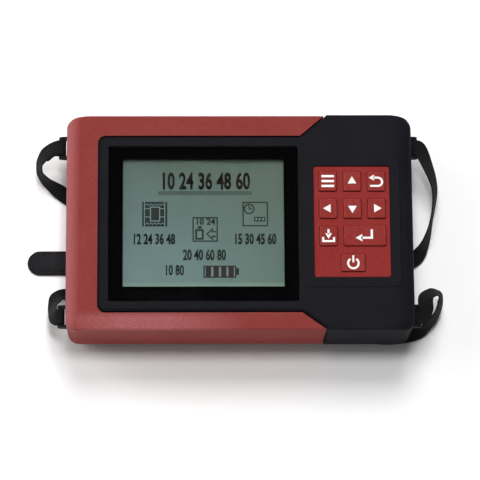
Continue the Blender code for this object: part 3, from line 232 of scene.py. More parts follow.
# Red end of the case: front and back shell, and the hatch over the cells
# Injection-moulded red plastic with a fine matt spark texture, paler where hands have rubbed its
# edges, with a painted pink sheen on its left end and along the near side, standing in for the light
# gleaming there. The front half sits on the back half with six screws.
red = (0.187, 0.0265, 0.0220)
red_rubbed = (0.29, 0.066, 0.060)
# The paler pink of the painted sheen on the left end and the near side
red_painted_sheen = (0.375, 0.132, 0.140)
weld_distance = 0.005 * mm
crease_angle = math.radians(30)
cloud_scale, fleck_scale, blotch_scale = 42.0, 620.0, 1500.0
worn_radius = 0.7 * mm
rounded_radius = 0.35 * mm
bevel_samples = 6
# Where the painted sheen lies: the left end, and a stretch of the near side
sheen_end_x, sheen_end_z = (-103.5 * mm, -111.0 * mm), (36 * mm, 44 * mm)
sheen_side_middle, sheen_side_reach = -62 * mm, (15 * mm, 70 * mm)
sheen_side_y, sheen_side_z = (-58.5 * mm, -63.5 * mm), (44 * mm, 48 * mm)

smoothing = bpy.data.node_groups.new("smooth under thirty degrees", "GeometryNodeTree")
smoothing.interface.new_socket("Geometry", in_out="INPUT", socket_type="NodeSocketGeometry")
smoothing.interface.new_socket("Geometry", in_out="OUTPUT", socket_type="NodeSocketGeometry")
taken = smoothing.nodes.new("NodeGroupInput")
merged = smoothing.nodes.new("GeometryNodeMergeByDistance")
merged.inputs["Distance"].default_value = weld_distance
softened = smoothing.nodes.new("GeometryNodeSetShadeSmooth")
edge_angle = smoothing.nodes.new("GeometryNodeInputMeshEdgeAngle")
is_sharp = smoothing.nodes.new("FunctionNodeCompare")
is_sharp.data_type = "FLOAT"
is_sharp.operation = "GREATER_THAN"
is_sharp.inputs["B"].default_value = crease_angle
creased = smoothing.nodes.new("GeometryNodeSetShadeSmooth")
creased.domain = "EDGE"
creased.inputs["Shade Smooth"].default_value = False
given = smoothing.nodes.new("NodeGroupOutput")
joined(smoothing, (taken.outputs[0], merged.inputs["Geometry"]),
       (merged.outputs["Geometry"], softened.inputs["Geometry"]),
       (softened.outputs[0], creased.inputs["Geometry"]),
       (edge_angle.outputs["Unsigned Angle"], is_sharp.inputs["A"]),
       (is_sharp.outputs[0], creased.inputs["Selection"]),
       (creased.outputs[0], given.inputs[0]))


def dress(material, *names):
    """Gives CAD nodes a finish, and shades them smooth where their facets stand for a curve."""
    for name in names:
        node = frame["nodes"][name]
        node.data.materials.clear()
        node.data.materials.append(material)
        node.modifiers.new("smooth", "NODES").node_group = smoothing
        weighted = node.modifiers.new("flats stay flat", "WEIGHTED_NORMAL")
        weighted.keep_sharp = True


def shader_group(name, inputs, outputs):
    """An empty shader node group with named sockets."""
    group = bpy.data.node_groups.new(name, "ShaderNodeTree")
    kinds = {"colour": "NodeSocketColor", "value": "NodeSocketFloat"}
    for direction, sockets in (("INPUT", inputs), ("OUTPUT", outputs)):
        for label, kind in sockets:
            group.interface.new_socket(label, in_out=direction, socket_type=kinds[kind])
    return group, group.nodes.new("NodeGroupInput"), group.nodes.new("NodeGroupOutput")


def noise_node(tree, coordinates, scale, detail=2.0):
    """A noise of a scale that is a number or a socket."""
    node = tree.nodes.new("ShaderNodeTexNoise")
    tree.links.new(coordinates, node.inputs["Vector"])
    if isinstance(scale, (int, float)):
        node.inputs["Scale"].default_value = scale
    else:
        tree.links.new(scale, node.inputs["Scale"])
    node.inputs["Detail"].default_value = detail
    return node.outputs["Fac"]


def mixed(tree, share, first, second):
    """A colour mix of two sockets or colours."""
    node = tree.nodes.new("ShaderNodeMix")
    node.data_type = "RGBA"
    for value, socket in ((share, node.inputs["Factor"]), (first, node.inputs[6]),
                          (second, node.inputs[7])):
        if isinstance(value, tuple):
            socket.default_value = (*value, 1)
        elif isinstance(value, (int, float)):
            socket.default_value = value
        else:
            tree.links.new(value, socket)
    return node.outputs[2]


def bevel_normal(tree, radius):
    """The normal with every edge rounded off."""
    node = tree.nodes.new("ShaderNodeBevel")
    node.samples = bevel_samples
    node.inputs["Radius"].default_value = radius
    return node.outputs[0]


def surfaced(tree, output, colour, roughness, height, depth, shine=0.5, normal=None):
    """A Principled surface with a bump as deep as given, on a rounded normal where there is one."""
    shader = tree.nodes.new("ShaderNodeBsdfPrincipled")
    shader.inputs["Specular IOR Level"].default_value = shine
    bump = tree.nodes.new("ShaderNodeBump")
    bump.inputs["Distance"].default_value = depth
    if normal:
        tree.links.new(normal, bump.inputs["Normal"])
    joined(tree, (colour, shader.inputs["Base Color"]), (roughness, shader.inputs["Roughness"]),
           (height, bump.inputs["Height"]), (bump.outputs[0], shader.inputs["Normal"]),
           (shader.outputs[0], output.inputs["Surface"]))
    return shader


# Moulded texture: fine spark grain for the bump, slow mottling for the colour, and paler edges:
# rubbed wear, and on the keys a painted highlight
moulded, got, put = shader_group(
    "moulded plastic",
    [("Colour", "colour"), ("Rubbed and lit", "colour"), ("Grain", "value"), ("Wear and highlight", "value"),
     ("Gloss", "value")],
    [("Colour", "colour"), ("Roughness", "value"), ("Height", "value")])
place = object_place(moulded)
grain = noise_node(moulded, place, got.outputs["Grain"])
cloud = noise_node(moulded, place, cloud_scale, 4.0)
fleck = noise_node(moulded, place, fleck_scale, 3.0)
mottling = math_node(moulded, "ADD", ranged(moulded, cloud, 0.35, 0.7, 0.0, 0.35),
                     ranged(moulded, fleck, 0.4, 0.75, 0.0, 0.4))
# Paler edges: rubbed wear, and on the keys a painted highlight along every rim
rounded = bevel_normal(moulded, worn_radius)
facing = moulded.nodes.new("ShaderNodeNewGeometry")
bend = moulded.nodes.new("ShaderNodeVectorMath")
bend.operation = "DOT_PRODUCT"
joined(moulded, (rounded, bend.inputs[0]), (facing.outputs["Normal"], bend.inputs[1]))
edge = ranged(moulded, bend.outputs["Value"], 0.995, 0.90)
edge = math_node(moulded, "MULTIPLY", edge, ranged(moulded, fleck, 0.3, 0.6, 0.35, 1.0))
edge = math_node(moulded, "MULTIPLY", edge, got.outputs["Wear and highlight"])
share = math_node(moulded, "MAXIMUM", math_node(moulded, "MULTIPLY", mottling, 0.45), edge)
colour = mixed(moulded, share, got.outputs["Colour"], got.outputs["Rubbed and lit"])
rough = math_node(moulded, "ADD", got.outputs["Gloss"], ranged(moulded, grain, 0.3, 0.7, -0.05, 0.07))
joined(moulded, (colour, put.inputs["Colour"]), (rough, put.inputs["Roughness"]),
       (grain, put.inputs["Height"]))


def plastic(name, colour, rubbed_and_lit, gloss, grain=1500.0, depth=0.02, wear_and_highlight=0.6, shine=0.5):
    """Moulded plastic: grain is in waves per metre, depth in millimetres, shine is its reflection."""
    material, tree, output = empty_material(name)
    finish = tree.nodes.new("ShaderNodeGroup")
    finish.node_tree = moulded
    for label, value in (("Colour", (*colour, 1)), ("Rubbed and lit", (*rubbed_and_lit, 1)), ("Grain", grain),
                         ("Wear and highlight", wear_and_highlight), ("Gloss", gloss)):
        finish.inputs[label].default_value = value
    colour, rough, relief = (finish.outputs[label] for label in ("Colour", "Roughness", "Height"))
    surfaced(tree, output, colour, rough, relief, depth * mm, shine,
             bevel_normal(tree, rounded_radius))
    return material


red_case = plastic("red case plastic", red, red_rubbed, 0.52, grain=1150.0, depth=0.07,
                   shine=0.05)
tree = red_case.node_tree
finish = next(node for node in tree.nodes if node.type == "GROUP")
place = object_place(tree)
x, y, z = parted(tree, place)
# Painted sheen: a paler pink laid on the left end and along the near side by position, broken up by
# noise, standing in for reflected light
sheen_end = math_node(tree, "MULTIPLY", ranged(tree, x, *sheen_end_x, 0.0, 0.9),
                     ranged(tree, z, *sheen_end_z))
off_middle = math_node(tree, "ABSOLUTE", math_node(tree, "SUBTRACT", x, sheen_side_middle))
sheen_side = math_node(tree, "MULTIPLY", ranged(tree, off_middle, *sheen_side_reach, 0.75, 0.0),
                      ranged(tree, y, *sheen_side_y))
sheen_side = math_node(tree, "MULTIPLY", sheen_side, ranged(tree, z, *sheen_side_z))
blotches = noise_node(tree, place, blotch_scale, 2.0)
painted_sheen = math_node(tree, "MULTIPLY", math_node(tree, "MAXIMUM", sheen_end, sheen_side),
                    ranged(tree, blotches, 0.35, 0.65, 0.45, 1.0))
tree.links.new(mixed(tree, painted_sheen, red, red_painted_sheen), finish.inputs["Colour"])
dress(red_case, "front_shell_red", "back_shell_red", "battery_hatch")


# Black end of the case with the screen frame, and the black back shell
# Moulded in the same texture from near-black plastic with a cool tint. It stands half a
# millimetre proud of the red and reaches round the screen and the keypad as one frame.
black_case = plastic("black case plastic", (0.0082, 0.0080, 0.0104), (0.017, 0.017, 0.021), 0.56,
                     grain=1150.0, depth=0.04, wear_and_highlight=0.3, shine=0.02)
dress(black_case, "front_shell_black", "back_shell_black")


# Strap lugs
# Satin black brackets set into the four corners, each with a bar that the webbing goes round.
lug_plastic = plastic("black lug plastic", (0.005, 0.005, 0.006), (0.014, 0.014, 0.016), 0.5,
                      grain=900.0, depth=0.012, wear_and_highlight=0.5, shine=0.08)
dress(lug_plastic, *(f"strap_lug_{place}" for place in
                     ("left_far", "left_near", "right_far", "right_near")))


# Rubber feet and the cover over the sockets
# Soft black rubber, dull and slightly dusty, the feet glued into round seats in the back.
rubber = plastic("black rubber", (0.014, 0.014, 0.014), (0.07, 0.068, 0.065), 0.78,
                 grain=420.0, depth=0.02, wear_and_highlight=0.8, shine=0.3)
dress(rubber, "foot_1", "foot_2", "foot_3", "foot_4", "port_cover")


# Screen window with its printed border
# A clear acrylic pane glued flat into the black frame. Its underside is printed black round the
# display, so that nothing of the module's metal edge shows.
pane_low, pane_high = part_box("screen_window")
view_x = (-75.6 * mm, 29.1 * mm)
view_y = (-42.9 * mm, 42.5 * mm)
print_gap = 0.06 * mm
print_thickness = 0.08 * mm
print_inset = 0.15 * mm

clear, tree, output = empty_material("clear acrylic")
shader = tree.nodes.new("ShaderNodeBsdfPrincipled")
shader.inputs["Base Color"].default_value = (0.97, 0.99, 0.98, 1)
shader.inputs["Transmission Weight"].default_value = 1.0
shader.inputs["IOR"].default_value = 1.49
haze = noise_node(tree, object_place(tree), 90.0, 3.0)
tree.links.new(ranged(tree, haze, 0.3, 0.7, 0.0, 0.006), shader.inputs["Roughness"])
open_way = tree.nodes.new("ShaderNodeBsdfTransparent")
open_way.inputs["Color"].default_value = (0.93, 0.95, 0.94, 1)
chosen = tree.nodes.new("ShaderNodeMixShader")
path = tree.nodes.new("ShaderNodeLightPath")
joined(tree, (path.outputs["Is Shadow Ray"], chosen.inputs["Fac"]),
       (shader.outputs[0], chosen.inputs[1]), (open_way.outputs[0], chosen.inputs[2]),
       (chosen.outputs[0], output.inputs["Surface"]))
dress(clear, "screen_window")


def placed(piece, name, material, body="case"):
    """Names a modelled piece, bakes its place into its mesh and lets it ride with a body."""
    bpy.context.view_layer.update()
    piece.name = name
    piece.data.transform(piece.matrix_world)
    piece.matrix_world = Matrix.Identity(4)
    piece.data.materials.clear()
    piece.data.materials.append(material)
    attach(piece, body)
    return piece


def thickened(thickness):
    """Extrudes the sheet that is in edit mode upwards, and turns its faces outwards."""
    bpy.ops.mesh.select_all(action="SELECT")
    bpy.ops.mesh.extrude_region_move(TRANSFORM_OT_translate={"value": (0, 0, thickness)})
    bpy.ops.mesh.select_all(action="SELECT")
    bpy.ops.mesh.normals_make_consistent(inside=False)
    bpy.ops.object.mode_set(mode="OBJECT")
    return bpy.context.object


def window_frame(low, high, inner_low, inner_high, z, thickness):
    """A thin flat frame round an opening: a grid of nine faces without the middle one, extruded."""
    x = (low[0], inner_low[0], inner_high[0], high[0])
    y = (low[1], inner_low[1], inner_high[1], high[1])
    bpy.ops.object.select_all(action="DESELECT")
    bpy.ops.mesh.primitive_grid_add(x_subdivisions=3, y_subdivisions=3, size=2)
    piece = bpy.context.object
    for vertex in piece.data.vertices:
        column = min(range(4), key=lambda i: abs(vertex.co.x - (-1 + i * 2 / 3)))
        row = min(range(4), key=lambda i: abs(vertex.co.y - (-1 + i * 2 / 3)))
        vertex.co = (x[column], y[row], z)
    bpy.ops.object.mode_set(mode="EDIT")
    bpy.ops.mesh.select_all(action="DESELECT")
    sheet = bmesh.from_edit_mesh(piece.data)
    middle = Vector(((x[1] + x[2]) / 2, (y[1] + y[2]) / 2, z))
    for face in sheet.faces:
        face.select = (face.calc_center_median() - middle).length < 1 * mm
    bmesh.update_edit_mesh(piece.data)
    bpy.ops.mesh.delete(type="FACE")
    return thickened(thickness)


border_print = plastic("black screen print", (0.0006, 0.0006, 0.0007), (0.001, 0.001, 0.001), 0.7,
                       grain=3000.0, depth=0.002, wear_and_highlight=0.0, shine=0.0)
border = window_frame((pane_low.x + print_inset, pane_low.y + print_inset),
                      (pane_high.x - print_inset, pane_high.y - print_inset),
                      (view_x[0], view_y[0]), (view_x[1], view_y[1]),
                      pane_low.z - print_gap - print_thickness, print_thickness)
placed(border, "screen_border_print", border_print)


# Liquid-crystal display
# A grey-green passive cell of 320 by 240 dots, darker to the far right, with a painted yellow-green
# glow along its near edge, the light guide's light painted into the colour. Its dark segments are a
# film just above it.
dot_pitch = 0.302 * mm
dot_share = 0.88
film_thickness = 0.03 * mm
film_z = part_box("display_cell")[1].z + film_thickness
painted_glow_y = (view_y[0] + 1.2 * mm, view_y[0] + 4.2 * mm)
figure_height, number_width, number_share = 0.73, 1.12, 0.86

lcd, tree, output = empty_material("display cell")
shader = tree.nodes.new("ShaderNodeBsdfPrincipled")
shader.inputs["Roughness"].default_value = 0.55
shader.inputs["Specular IOR Level"].default_value = 0.15
place = object_place(tree)
x, y, _ = parted(tree, place)
across = ranged(tree, x, *view_x)
upward = ranged(tree, y, *view_y)
left_colour = mixed(tree, upward, (0.061, 0.096, 0.102), (0.025, 0.041, 0.034))
right_colour = mixed(tree, upward, (0.039, 0.066, 0.055), (0.024, 0.035, 0.024))
body_colour = mixed(tree, across, left_colour, right_colour)
shade = noise_node(tree, place, 18.0, 2.0)
body_colour = mixed(tree, ranged(tree, shade, 0.35, 0.65, 0.0, 0.2), body_colour,
                    (0.043, 0.068, 0.062))
# Painted glow: a paler yellow-green band along the near edge, the light guide's light painted into
# the colour
body_colour = mixed(tree, ranged(tree, y, *painted_glow_y, 0.85, 0.0), body_colour, (0.086, 0.125, 0.096))
lines = []
for axis in (x, y):
    wave = math_node(tree, "FRACT", math_node(tree, "DIVIDE", axis, dot_pitch))
    lines.append(math_node(tree, "GREATER_THAN", wave, dot_share))
grid = math_node(tree, "MULTIPLY", math_node(tree, "MAXIMUM", *lines), 0.22)
body_colour = mixed(tree, grid, body_colour, (0.09, 0.13, 0.115))
joined(tree, (body_colour, shader.inputs["Base Color"]),
       (shader.outputs[0], output.inputs["Surface"]))
dress(lcd, "display_cell")

segment_dark, segment_title, segment_brown, segment_pale = (
    plastic(f"{name} display segments", colour, speckled, 0.6, grain=1600.0, depth=0.001, wear_and_highlight=0.0,
            shine=0.1)
    for name, colour, speckled in (
        ("dark", (0.004, 0.006, 0.005), (0.008, 0.010, 0.009)),
        ("brownish", (0.008, 0.005, 0.004), (0.014, 0.010, 0.008)),
        ("faint", (0.009, 0.005, 0.004), (0.016, 0.010, 0.008)),
        ("clear", (0.062, 0.100, 0.098), (0.075, 0.115, 0.11))))


def joined_pieces(pieces):
    """One object out of several."""
    bpy.ops.object.select_all(action="DESELECT")
    for piece in pieces:
        piece.select_set(True)
    bpy.context.view_layer.objects.active = pieces[0]
    if len(pieces) > 1:
        bpy.ops.object.join()
    return pieces[0]


def film_bar(x, y, z, thickness):
    """A filled bar between two X and two Y, in millimetres."""
    middle = ((x[0] + x[1]) / 2 * mm, (y[0] + y[1]) / 2 * mm, z + thickness / 2)
    bpy.ops.object.select_all(action="DESELECT")
    bpy.ops.mesh.primitive_cube_add(size=1, location=middle)
    piece = bpy.context.object
    piece.scale = ((x[1] - x[0]) * mm, (y[1] - y[0]) * mm, thickness)
    bpy.ops.object.transform_apply(location=True, rotation=True, scale=True)
    return piece


def film_frame(x, y, line, z, thickness):
    """An outlined box with a line of the given width, in millimetres."""
    return window_frame((x[0] * mm, y[0] * mm), (x[1] * mm, y[1] * mm),
                        ((x[0] + line) * mm, (y[0] + line) * mm),
                        ((x[1] - line) * mm, (y[1] - line) * mm), z, thickness)


def film_round(middle, radius, z, thickness, corners=24, turn=0.0, hole=0.0):
    """A disc, ring, triangle or other regular shape, in millimetres."""
    bpy.ops.object.select_all(action="DESELECT")
    bpy.ops.mesh.primitive_circle_add(vertices=corners, radius=radius * mm, fill_type="NGON",
                                      location=(middle[0] * mm, middle[1] * mm, z),
                                      rotation=(0, 0, math.radians(turn)))
    bpy.ops.object.transform_apply(location=True, rotation=True, scale=True)
    bpy.ops.object.mode_set(mode="EDIT")
    bpy.ops.mesh.select_all(action="SELECT")
    if hole:
        bpy.ops.mesh.inset(thickness=(radius - hole) * mm)
        bpy.ops.mesh.delete(type="FACE")
    return thickened(thickness)


def film_text(words, middle, height, z, thickness, weight=0.0, stretch=1.0):
    """Plain figures as a thin plate, centred on a place, in millimetres."""
    bpy.ops.object.select_all(action="DESELECT")
    bpy.ops.object.text_add()
    figures = bpy.context.object
    figures.data.body = words
    figures.data.align_x = "CENTER"
    figures.data.align_y = "CENTER"
    figures.data.size = 1.0
    figures.data.offset = weight
    figures.data.resolution_u = 3
    bpy.ops.object.convert(target="MESH")
    piece = bpy.context.object
    piece.data.transform(Matrix.Diagonal((height * mm * stretch, height * mm, 1, 1)))
    piece.data.transform(Matrix.Translation((middle[0] * mm, middle[1] * mm, z)))
    bpy.ops.object.mode_set(mode="EDIT")
    bpy.ops.mesh.select_all(action="SELECT")
    bpy.ops.mesh.remove_doubles(threshold=0.001 * mm)
    return thickened(thickness)


def stroke_line(points, line, z, thickness):
    """A mitred line of one width through plan points, in millimetres."""
    bpy.ops.object.select_all(action="DESELECT")
    points = [Vector(point) for point in points]
    sides = []
    for i, point in enumerate(points):
        into = (point - points[max(i - 1, 0)]).normalized()
        out = (points[min(i + 1, len(points) - 1)] - point).normalized()
        into, out = into if into.length else out, out if out.length else into
        normal = (Vector((-into.y, into.x)) + Vector((-out.y, out.x))).normalized()
        reach = line / 2 / max(normal.dot(Vector((-into.y, into.x))), 0.3)
        sides.append((point + normal * reach, point - normal * reach))
    bpy.ops.mesh.primitive_grid_add(x_subdivisions=len(points) - 1, y_subdivisions=1, size=2)
    piece = bpy.context.object
    step = 2 / (len(points) - 1)
    for vertex in piece.data.vertices:
        i = round((vertex.co.x + 1) / step)
        place = sides[i][0] if vertex.co.y > 0 else sides[i][1]
        vertex.co = (place.x * mm, place.y * mm, z)
    bpy.ops.object.mode_set(mode="EDIT")
    return thickened(thickness)


def on_film(shape, *places, **more):
    """A dark piece that lies in the film."""
    return shape(*places, z=film_z, thickness=film_thickness, **more)


def number_row(numbers, x, y, weight=0.012):
    """Two-digit numbers evenly over a width, as tall as the space between two Y."""
    pitch = (x[1] - x[0]) / len(numbers)
    return [on_film(film_text, number, (x[0] + pitch * (i + 0.5), (y[0] + y[1]) / 2),
                    (y[1] - y[0]) / figure_height, weight=weight,
                    stretch=pitch * number_share * figure_height / (y[1] - y[0]) / number_width)
            for i, number in enumerate(numbers)]


def over_film(shape, *places, **more):
    """A pale piece that lies over a dark one."""
    return shape(*places, z=film_z + film_thickness, thickness=film_thickness / 2, **more)


# Title: bold numbers over a double line
pieces = number_row(("10", "24", "36", "48", "60"), (-52.9, 8.6), (22.3, 33.5), 0.03)
placed(joined_pieces(pieces), "display_title", segment_title)
pieces = [on_film(film_bar, (-52.7, 8.1), (y - 0.3, y + 0.3)) for y in (19.75, 21.1)]
placed(joined_pieces(pieces), "display_title_lines", segment_dark)

# Left icon: a dark tile with a ringed window and pale joints
tile_x, tile_y, joint = (-63.1, -46.9), (-2.0, 14.5), 0.55
placed(on_film(film_bar, tile_x, tile_y), "display_tile", segment_dark)
pieces = [over_film(film_bar, (x - joint / 2, x + joint / 2), tile_y) for x in (-61.7, -48.5)]
pieces += [over_film(film_bar, x, (y - joint / 2, y + joint / 2))
           for x in ((-61.4, -58.0), (-51.6, -48.8)) for y in (4.4, 9.95)]
pieces.append(over_film(film_frame, (-58.1, -51.5), (1.35, 11.3), 0.65))
for y in (12.5, -0.15):
    teeth = [(-61.2 + 1.24 * i, y + (0.55 if i % 2 else -0.45)) for i in range(11)]
    pieces.append(over_film(stroke_line, teeth, 0.4))
placed(joined_pieces(pieces), "display_tile_joints", segment_pale)

# Middle icon: a small unit beside an arrow, under four figures
icon_line = 0.85
pieces = [on_film(film_frame, (-30.5, -14.0), (-12.3, 4.25), icon_line),
          on_film(film_bar, (-27.1, -24.5), (-3.6, -1.9)),
          on_film(film_frame, (-28.8, -23.2), (-10.9, -3.9), 1.25),
          on_film(stroke_line, [(-14.6, -5.6), (-17.6, -5.6), (-17.6, -3.8), (-21.2, -7.15),
                                (-17.6, -10.5), (-17.6, -8.7), (-14.6, -8.7)], icon_line)]
pieces += number_row(("10", "24"), (-29.6, -14.9), (-1.2, 3.2), 0.02)
placed(joined_pieces(pieces), "display_unit_icon", segment_dark)

# Right icon: a dial over a slot with three pale cells
pieces = [on_film(film_frame, (2.05, 18.7), tile_y, icon_line),
          on_film(film_round, (6.4, 9.7), 3.6, hole=2.7),
          on_film(film_bar, (6.0, 6.8), (9.7, 11.9)),
          on_film(film_bar, (6.0, 8.3), (9.3, 10.1)),
          on_film(film_bar, (9.6, 16.8), (1.2, 4.3))]
placed(joined_pieces(pieces), "display_dial_icon", segment_dark)
pieces = [over_film(film_bar, (x, x + 1.2), (2.1, 3.4)) for x in (10.4, 12.6, 14.8)]
placed(joined_pieces(pieces), "display_dial_cells", segment_pale)

# Numbers under the icons, and the battery gauge
for name, numbers, x, y in (("left", ("12", "24", "36", "48"), (-70.4, -40.9), (-14.3, -7.3)),
                            ("right", ("15", "30", "45", "60"), (-4.6, 24.8), (-14.3, -7.3)),
                            ("middle", ("20", "40", "60", "80"), (-37.6, -8.0), (-24.9, -17.9))):
    placed(joined_pieces(number_row(numbers, x, y, 0.03)), f"display_{name}_numbers",
           segment_dark)
pieces = number_row(("10", "80"), (-49.6, -35.2), (-34.9, -28.2), 0.03)
pieces += [on_film(film_frame, (-23.5, -2.2), (-36.3, -28.2), icon_line),
           on_film(film_bar, (-2.2, -0.5), (-34.4, -29.9))]
placed(joined_pieces(pieces), "display_gauge", segment_dark)
pieces = [on_film(film_bar, (x, x + 3.5), (-35.5, -29.0)) for x in (-22.0, -17.0, -12.1, -7.3)]
placed(joined_pieces(pieces), "display_gauge_cells", segment_brown)


# Keypad panel and its nine keys
# A red insert in a shallow recess of the black plateau. The keys are red too, come up through
# it, and carry raised white symbols printed on their flat tops.
panel_red = plastic("red keypad plastic", (0.203, 0.0120, 0.0100), (0.29, 0.045, 0.045), 0.55,
                    grain=1300.0, depth=0.025, wear_and_highlight=0.4, shine=0.08)
# The keys' edge colour is a painted highlight: a paler red rim round every key, at full strength
key_red = plastic("red key plastic", (0.190, 0.0125, 0.0105), (0.42, 0.08, 0.07), 0.46,
                  grain=1100.0, depth=0.02, wear_and_highlight=1.0, shine=0.05)
key_names = ("menu", "up", "back", "left", "down", "right", "save", "enter", "power")
dress(panel_red, "keypad_panel")
dress(key_red, *(f"key_{name}" for name in key_names))

legend_white = plastic("white key print", (0.80, 0.79, 0.77), (0.92, 0.92, 0.91), 0.5,
                       grain=1800.0, depth=0.004, wear_and_highlight=0.2, shine=0.3)
legend_thickness = 0.06 * mm
legend_sunk = 0.01 * mm


def arc_points(middle, radius, start, end, steps=14):
    """Points of an arc in plan, in millimetres and degrees."""
    turns = [math.radians(start + (end - start) * i / steps) for i in range(steps + 1)]
    return [(middle[0] + radius * math.cos(a), middle[1] + radius * math.sin(a)) for a in turns]


def key_symbol(name):
    """The pieces of one key's symbol, drawn about the middle of its top."""
    low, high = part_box(f"key_{name}")
    x, y = (low.x + high.x) / 2 / mm, (low.y + high.y) / 2 / mm
    flat = {"z": high.z - legend_sunk, "thickness": legend_thickness}
    turns = {"up": 90, "left": 180, "down": 270, "right": 0}
    if name in turns:
        return [film_round((x, y), 3.3, corners=3, turn=turns[name] - 90, **flat)]
    if name == "menu":
        return [film_bar((x - 4.1, x + 4.1), (y + step - 0.8, y + step + 0.8), **flat)
                for step in (-3.3, 0.0, 3.3)]
    if name == "back":
        return [stroke_line([(x - 3.9, y - 3.3), (x + 1.1, y - 3.3),
                             *arc_points((x + 1.1, y - 0.5), 2.8, -90, 90), (x - 2.0, y + 2.3)],
                            1.4, **flat),
                film_round((x - 2.5, y + 2.3), 2.4, corners=3, turn=90, **flat)]
    if name == "save":
        return [stroke_line([(x - 3.5, y - 0.9), (x - 3.5, y - 3.6), (x + 3.5, y - 3.6),
                             (x + 3.5, y - 0.9)], 1.4, **flat),
                stroke_line([(x, y + 4.3), (x, y + 0.9)], 1.4, **flat),
                film_round((x, y + 0.4), 2.5, corners=3, turn=180, **flat)]
    if name == "enter":
        return [stroke_line([(x + 4.4, y + 4.2), (x + 4.4, y - 1.4), (x - 2.6, y - 1.4)],
                            1.5, **flat),
                film_round((x - 3.2, y - 1.4), 2.9, corners=3, turn=90, **flat)]
    return [stroke_line(arc_points((x, y - 0.5), 3.4, 124, 416, 30), 1.35, **flat),
            stroke_line([(x, y + 4.7), (x, y)], 1.2, **flat)]


for name in key_names:
    placed(joined_pieces(key_symbol(name)), f"symbol_{name}", legend_white, f"key_{name}")


